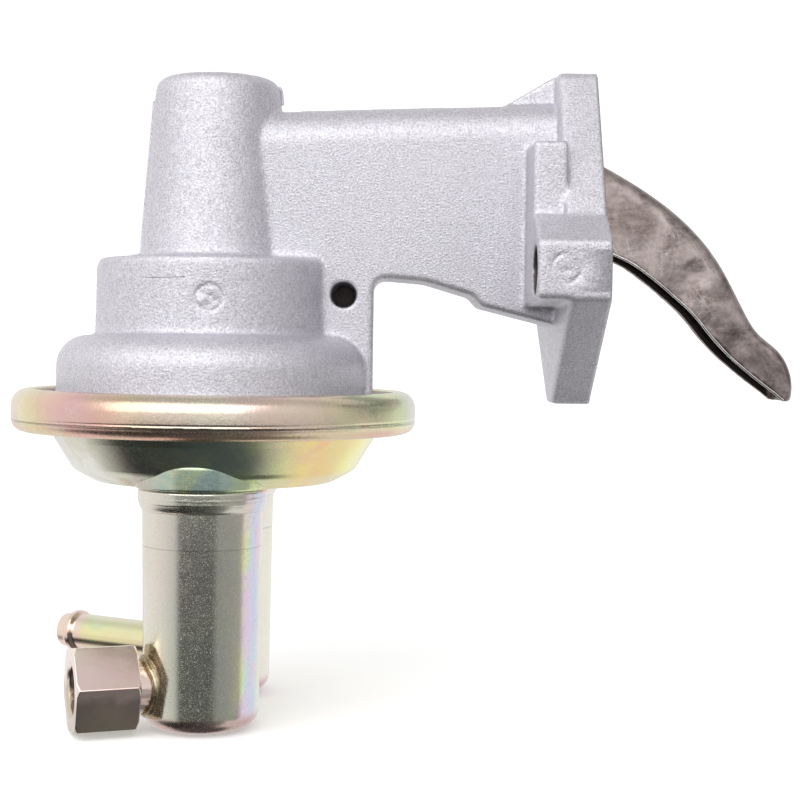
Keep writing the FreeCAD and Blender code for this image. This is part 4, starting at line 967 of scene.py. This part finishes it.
def pushed_by_noise(tree, geometry, amount, size, seed):
    place = made(tree, "GeometryNodeInputPosition")
    outward = made(tree, "GeometryNodeInputNormal")
    shifted = vector_calc(tree, "ADD", place, seed)
    wave = noise(tree, shifted, calc(tree, "DIVIDE", 1.0, size), detail=2.0)
    height = times(tree, calc(tree, "SUBTRACT", wave, 0.5), amount)
    offset = made(tree, "ShaderNodeVectorMath", {0: outward, "Scale": height}, operation="SCALE")
    return made(tree, "GeometryNodeSetPosition", {"Geometry": geometry, "Offset": offset})


def build_bead_tree():
    tree, given = new_tree("bead_along_line", [
        ("Half Height", "Float", 0.0003), ("Half Width", "Float", 0.0002), ("Sides", "Int", 10),
        ("Lump Height", "Float", 0.0), ("Lump Size", "Float", 0.001), ("Seed", "Float", 0.0),
        ("Material", "Material", None)])
    line = made(tree, "GeometryNodeMeshToCurve", {"Mesh": given["Geometry"]})
    round_one = made(tree, "GeometryNodeCurvePrimitiveCircle", {"Resolution": given["Sides"], "Radius": 1.0})
    size = made(tree, "ShaderNodeCombineXYZ", {0: given["Half Width"], 1: given["Half Height"], 2: 1.0})
    oval = made(tree, "GeometryNodeTransform", {"Geometry": round_one, "Scale": size})
    bead = made(tree, "GeometryNodeCurveToMesh", {"Curve": line, "Profile Curve": oval, "Fill Caps": True})
    lumpy = pushed_by_noise(tree, bead, given["Lump Height"], given["Lump Size"], given["Seed"])
    finish_tree(tree, lumpy, given["Material"])
    return tree


bead_tree = build_bead_tree()
print("tree:", bead_tree.name, list(socket_ids(bead_tree)))

# %% Helper: run a tree on a line


def line_mesh(name, points, closed=False):
    edges = [(i, i + 1) for i in range(len(points) - 1)]
    if closed:
        edges.append((len(points) - 1, 0))
    mesh = bpy.data.meshes.new(name)
    mesh.from_pydata([tuple(p) for p in points], edges, [])
    return mesh


def grown(tree, name, mesh, values):
    maker = add_object(name, mesh)
    grow = modify(maker, "grow", "NODES", node_group=tree)
    ids = socket_ids(tree)
    for label, value in values.items():
        grow[ids[label]] = value
    return plain_mesh(maker)


def bead(name, points, material, body, slot, sizes, seed=0.0, closed=False):
    """sizes: half height, half width, height and size of the lumps, in mm."""
    labels = ("Half Height", "Half Width", "Lump Height", "Lump Size")
    values = {label: size * MM for label, size in zip(labels, sizes)}
    values.update(Seed=seed, Material=material)
    mesh = grown(bead_tree, name, line_mesh(name, points, closed), values)
    return add_piece(name, mesh, body, material)


# %% [markdown]
# ## Flash along the parting line
# The two halves of the mould met in the plane y = 0, where a little metal was squeezed out. It shows as a thin
# strip down the tower's left side and over the step, on the tower's right shoulder, and along the top of the
# rocker housing. A ray that is cast at the skin finds where the surface is, so the strip follows it exactly.

# %% Find the parting line and lay the flash


def faces_of(mesh):
    return BVHTree.FromPolygons([v.co for v in mesh.vertices], [f.vertices for f in mesh.polygons])


skin_faces = faces_of(skin.data)


def surface_line(starts, way, lift):
    """Where rays from the starts meet the casting, moved back by lift."""
    found = []
    for start in starts:
        hit = skin_faces.ray_cast(Vector(start) * MM, Vector(way))[0]
        if hit is not None:
            found.append(hit - Vector(way) * lift)
    return found


def spaced(first, last, step):
    count = max(2, round(abs(last - first) / step))
    return [first + (last - first) * i / count for i in range(count + 1)]


LIFT = 0.28 * MM
FLASH = (0.38, 0.38, 0.16, 1.1)
left_side = surface_line([(-150, 0, z) for z in spaced(41.5, 4.2, 0.8)], (1, 0, 0), LIFT)
left_step = surface_line([(-150, 0, z) for z in spaced(1.0, -15.0, 0.8)], (1, 0, 0), LIFT)
right_side = surface_line([(-65, 0, z) for z in spaced(45.5, 41.0, 0.5)], (-1, 0, 0), LIFT)
housing_top = surface_line([(x, 0, 70) for x in spaced(-71.5, -36.0, 0.8)], (0, 0, -1), LIFT)
for number, line in enumerate((left_side + left_step, right_side, housing_top)):
    bead("flash_%d" % number, line, blasted_aluminium, "housing", "cast_aluminium", FLASH, seed=number * 0.37)
    print("flash", number, "points", len(line))

# %% [markdown]
# ## The fold on the step
# Where two streams of metal met in the mould while they set, a thin dark fold stands on the front of the step. It
# is a very fine bead on a slightly bent line, laid with the same rays as the flash.

# %% Lay the fold line on the step
FOLD_Z, FOLD_BEND = -2.3, -0.25
fold_starts = [(x, -60, FOLD_Z + FOLD_BEND * math.sin((x + 109.0) * 0.25)) for x in spaced(-107.0, -96.5, 0.7)]
fold = surface_line(fold_starts, (0, 1, 0), 0.02 * MM)
bead("fold_line", fold, blasted_aluminium, "housing", "cast_aluminium", (0.16, 0.16, 0.1, 0.8), seed=3.0)
print("fold points", len(fold))

# %% [markdown]
# ## Braze round the two necks
# The fittings are brazed into the cans. Filler metal wets both parts and leaves a lumpy bright ring where they
# meet. The ring's points come from rays that start outside, go along the neck and end on the can.

# %% Lay the braze rings
NECK_START = 40


def ring_on_can(can, axis, port, radius, steps=48):
    shape = faces_of(nodes[can].data)
    mouth, way = mounts[port]
    across = Vector((way.y, -way.x, 0.0))
    centre = Vector((axis.x, axis.y, mouth.z)) + way * NECK_START * MM
    found = []
    for step in range(steps):
        angle = math.tau * step / steps
        start = centre + (across * math.cos(angle) + Vector((0, 0, 1)) * math.sin(angle)) * radius
        found.append(shape.ray_cast(start, -way)[0] + way * 0.15 * MM)
    return found


BRAZE = (0.75, 0.65, 0.7, 1.3)
for name, can, axis, port, radius in (("braze_outlet", "outlet_can", OUTLET_AXIS, "outlet_port", 6.7 * MM),
                                      ("braze_inlet", "inlet_can", INLET_AXIS, "inlet_hose", 5.1 * MM)):
    bead(name, ring_on_can(can, axis, port, radius), braze_metal, "housing", "zinc_fitting", BRAZE,
         seed=radius * 100, closed=True)
    print("laid", name)

# %% [markdown]
# ## The hexagon's edges
# The corners of a turned hexagon are slightly broken and catch the light as thin bright lines. The CAD piece has
# knife edges there. A Bevel modifier on a merged copy breaks each sharp edge by a quarter of a millimetre.

# %% Break the hexagon's edges


def broken_edges(node, width):
    maker = add_object(node + "_edges", merged_copy(node, join_flats=True))
    modify(maker, "edge", "BEVEL", width=width, segments=2, limit_method="ANGLE", angle_limit=math.radians(38),
           harden_normals=True)
    modify(maker, "corner", "TRIANGULATE", keep_custom_normals=True)
    return plain_mesh(maker)


hexagon = add_piece("hexagon_skin", broken_edges("outlet_fitting", 0.25 * MM), "housing", hex_zinc,
                    ["outlet_fitting"])
print("hexagon faces:", len(hexagon.data.polygons))

# %% [markdown]
# ## The rolled ring
# The ring is turned: one C-shaped section goes round the pump axis. That is a rule, so Geometry Nodes make it from
# the section, the radius and the number of steps. Rolling leaves it a little uneven, which is what breaks up the
# reflections on its side, so the same noise helper as the bead's gives it faint dents.

# %% Tree: turned section


def build_turned_tree():
    tree, given = new_tree("turned_section", [
        ("Radius", "Float", 0.04), ("Centre", "Vector", (0.0, 0.0, 0.0)), ("Steps", "Int", 180),
        ("Dent Depth", "Float", 0.0), ("Dent Size", "Float", 0.003), ("Seed", "Float", 0.0),
        ("Material", "Material", None)])
    section = made(tree, "GeometryNodeMeshToCurve", {"Mesh": given["Geometry"]})
    round_one = made(tree, "GeometryNodeCurvePrimitiveCircle", {"Resolution": given["Steps"],
                                                                "Radius": given["Radius"]})
    swept = made(tree, "GeometryNodeCurveToMesh", {"Curve": round_one, "Profile Curve": section})
    placed = made(tree, "GeometryNodeTransform", {"Geometry": swept, "Translation": given["Centre"]})
    dented = pushed_by_noise(tree, placed, given["Dent Depth"], given["Dent Size"], given["Seed"])
    finish_tree(tree, dented, given["Material"])
    return tree


turned_tree = build_turned_tree()
print("tree:", turned_tree.name, list(socket_ids(turned_tree)))

# %% Draw the ring's section and turn it


def turned(name, outline, radius, axis, steps, dents, seed, finish, replaced=()):
    """outline: (radius, height) in mm; dents: their depth and size in mm."""
    section = [((r - radius) * MM, -z * MM, 0.0) for r, z in outline]
    mesh = grown(turned_tree, name, line_mesh(name + "_section", section, closed=True), {
        "Radius": radius * MM, "Centre": (axis.x, axis.y, 0.0), "Steps": steps, "Dent Depth": dents[0] * MM,
        "Dent Size": dents[1] * MM, "Seed": seed, "Material": finish})
    return add_piece(name, mesh, "housing", finish, replaced)


def rounded(corners, steps=7):
    """Closed outline in mm from (radius, height[, round]) corners; a round corner becomes an arc."""
    outline = []
    for i, corner in enumerate(corners):
        here = Vector(corner[:2])
        if len(corner) == 2:
            outline.append(here)
            continue
        back = (Vector(corners[i - 1][:2]) - here).normalized()
        ahead = (Vector(corners[(i + 1) % len(corners)][:2]) - here).normalized()
        half = back.angle(ahead) / 2
        reach = corner[2] / math.tan(half)
        centre = here + (back + ahead).normalized() * corner[2] / math.sin(half)
        first, last = here + back * reach - centre, here + ahead * reach - centre
        swing = first.angle_signed(last)
        outline += [centre + Matrix.Rotation(-swing * k / steps, 2) @ first for k in range(steps + 1)]
    return outline


ring_low, ring_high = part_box("crimp_ring")
RING_R = (ring_high.x - ring_low.x) / 2 / MM
TOP, FOOT, SHEET = ring_high.z / MM, ring_low.z / MM, 1.3
SEAM = TOP - 6.8
ring_outline = rounded([
    (RING_R - 5.0, TOP - SHEET), (RING_R - 5.0, TOP, 0.5), (RING_R, TOP, 4.0), (RING_R, SEAM + 0.5),
    (RING_R, SEAM + 0.28), (RING_R - 0.05, SEAM + 0.16), (RING_R - 0.22, SEAM), (RING_R - 0.05, SEAM - 0.16),
    (RING_R, SEAM - 0.28), (RING_R, SEAM - 0.5), (RING_R, FOOT, 3.0), (RING_R - 7.0, FOOT, 0.5),
    (RING_R - 7.0, FOOT + SHEET), (RING_R - SHEET, FOOT + SHEET, 1.7), (RING_R - SHEET, TOP - SHEET, 2.7)])
rolled_ring = turned("rolled_ring", ring_outline, RING_R, PUMP_AXIS, 240, (0.10, 3.4), 1.3, ring_zinc,
                     ["crimp_ring"])
print("ring box:", [[round(v / MM, 1) for v in rolled_ring.bound_box[corner]] for corner in (0, 6)])

# %% [markdown]
# ## The cans' collars
# Each can is flared under the bowl and pressed back, which leaves a plump round collar that is fuller than the CAD
# one. The same turned tree makes both from one short section, each round its own can.

# %% Turn the two collars
COLLAR = [(13.6, -51.6), (14.6, -51.6), (15.0, -52.0), (15.18, -52.8), (15.22, -53.7), (15.12, -54.6), (14.88, -55.5),
          (14.6, -56.2), (14.18, -56.7), (13.7, -56.9)]
for name, axis, finish in (("outlet_collar", OUTLET_AXIS, outlet_zinc), ("inlet_collar", INLET_AXIS, inlet_zinc)):
    turned(name, COLLAR, 14.0, axis, 120, (0.06, 2.6), 2.1, finish)
    print("turned", name)

# %% [markdown]
# ## The rocker arm
# The arm is hard pressed steel with soft shoulders, a few hammer dents near its bend, and a worn toe. It is
# softened in the same way as the casting, and the dents are pressed in before the grid is thinned. Its walls were
# sheared from sheet, so the lower edges are bare and bright: two more beads follow them.

# %% Helper: dents


def press_dent(points, centre, radius, push):
    """Moves the points near centre by push, fading to nothing at the radius."""
    away = points - np.array(centre) * MM
    share = np.clip(1.0 - (away ** 2).sum(axis=1) / (radius * MM) ** 2, 0.0, 1.0) ** 2
    points += share[:, None] * np.array(push) * MM


# %% Make the arm's skin
ARM_VOXEL = 0.42 * MM
ARM_ROUNDS, ARM_TRIANGLES = 4, 90000
# Each dent's centre, radius and push in mm: five on the near wall by the bend, then two on the worn toe.
DENTS = [((25.0, -8.0, 0.5), 4.5, (0.0, 0.28, 0.0)), ((19.5, -7.0, 4.0), 3.5, (0.0, -0.12, 0.1)),
         ((21.0, -8.0, -3.5), 6.0, (0.0, 0.2, 0.0)), ((36.0, -7.6, -16.0), 5.0, (0.0, 0.2, 0.0)),
         ((30.0, -8.0, -8.0), 4.5, (0.0, -0.15, 0.0)), ((48.6, -4.0, -30.0), 2.2, (0.0, 0.4, 0.9)),
         ((46.0, 4.0, -29.0), 1.6, (0.0, 0.0, 0.7))]

arm_grid = gridded("rocker_arm", ARM_VOXEL)
arm_soft = softened(arm_grid, ARM_ROUNDS, np.full(len(arm_grid.vertices), True))
points = points_of(arm_soft)
for centre, radius, push in DENTS:
    press_dent(points, centre, radius, push)
set_points(arm_soft, points)
arm_skin = add_piece("arm_skin", thinned(arm_soft, ARM_TRIANGLES), "rocker", arm_steel,
                     ["rocker_arm"])
print("arm skin triangles:", len(arm_skin.data.polygons))

# %% Lay the bright sheared edges
arm_faces = faces_of(arm_skin.data)


def sheared_line(side):
    found = []
    for x in spaced(1.5, 47.5, 0.8):
        rim = arm_faces.ray_cast(Vector((x, side * ARM_WALL_INSIDE, -60)) * MM, Vector((0, 0, 1)))[0]
        if rim is None:
            continue
        wall = arm_faces.ray_cast(Vector((x, side * 20, rim.z / MM + 0.7)) * MM, Vector((0, -side, 0)))[0]
        if wall is not None:
            found.append(Vector((rim.x, wall.y - side * 0.25 * MM, rim.z + 0.15 * MM)))
    return found


for name, side in (("near_edge", -1), ("far_edge", 1)):
    line = sheared_line(side)
    bead(name, line, bare_edge, "rocker", "forged_steel", (0.34, 0.34, 0.12, 1.5))
    print(name, "points", len(line))
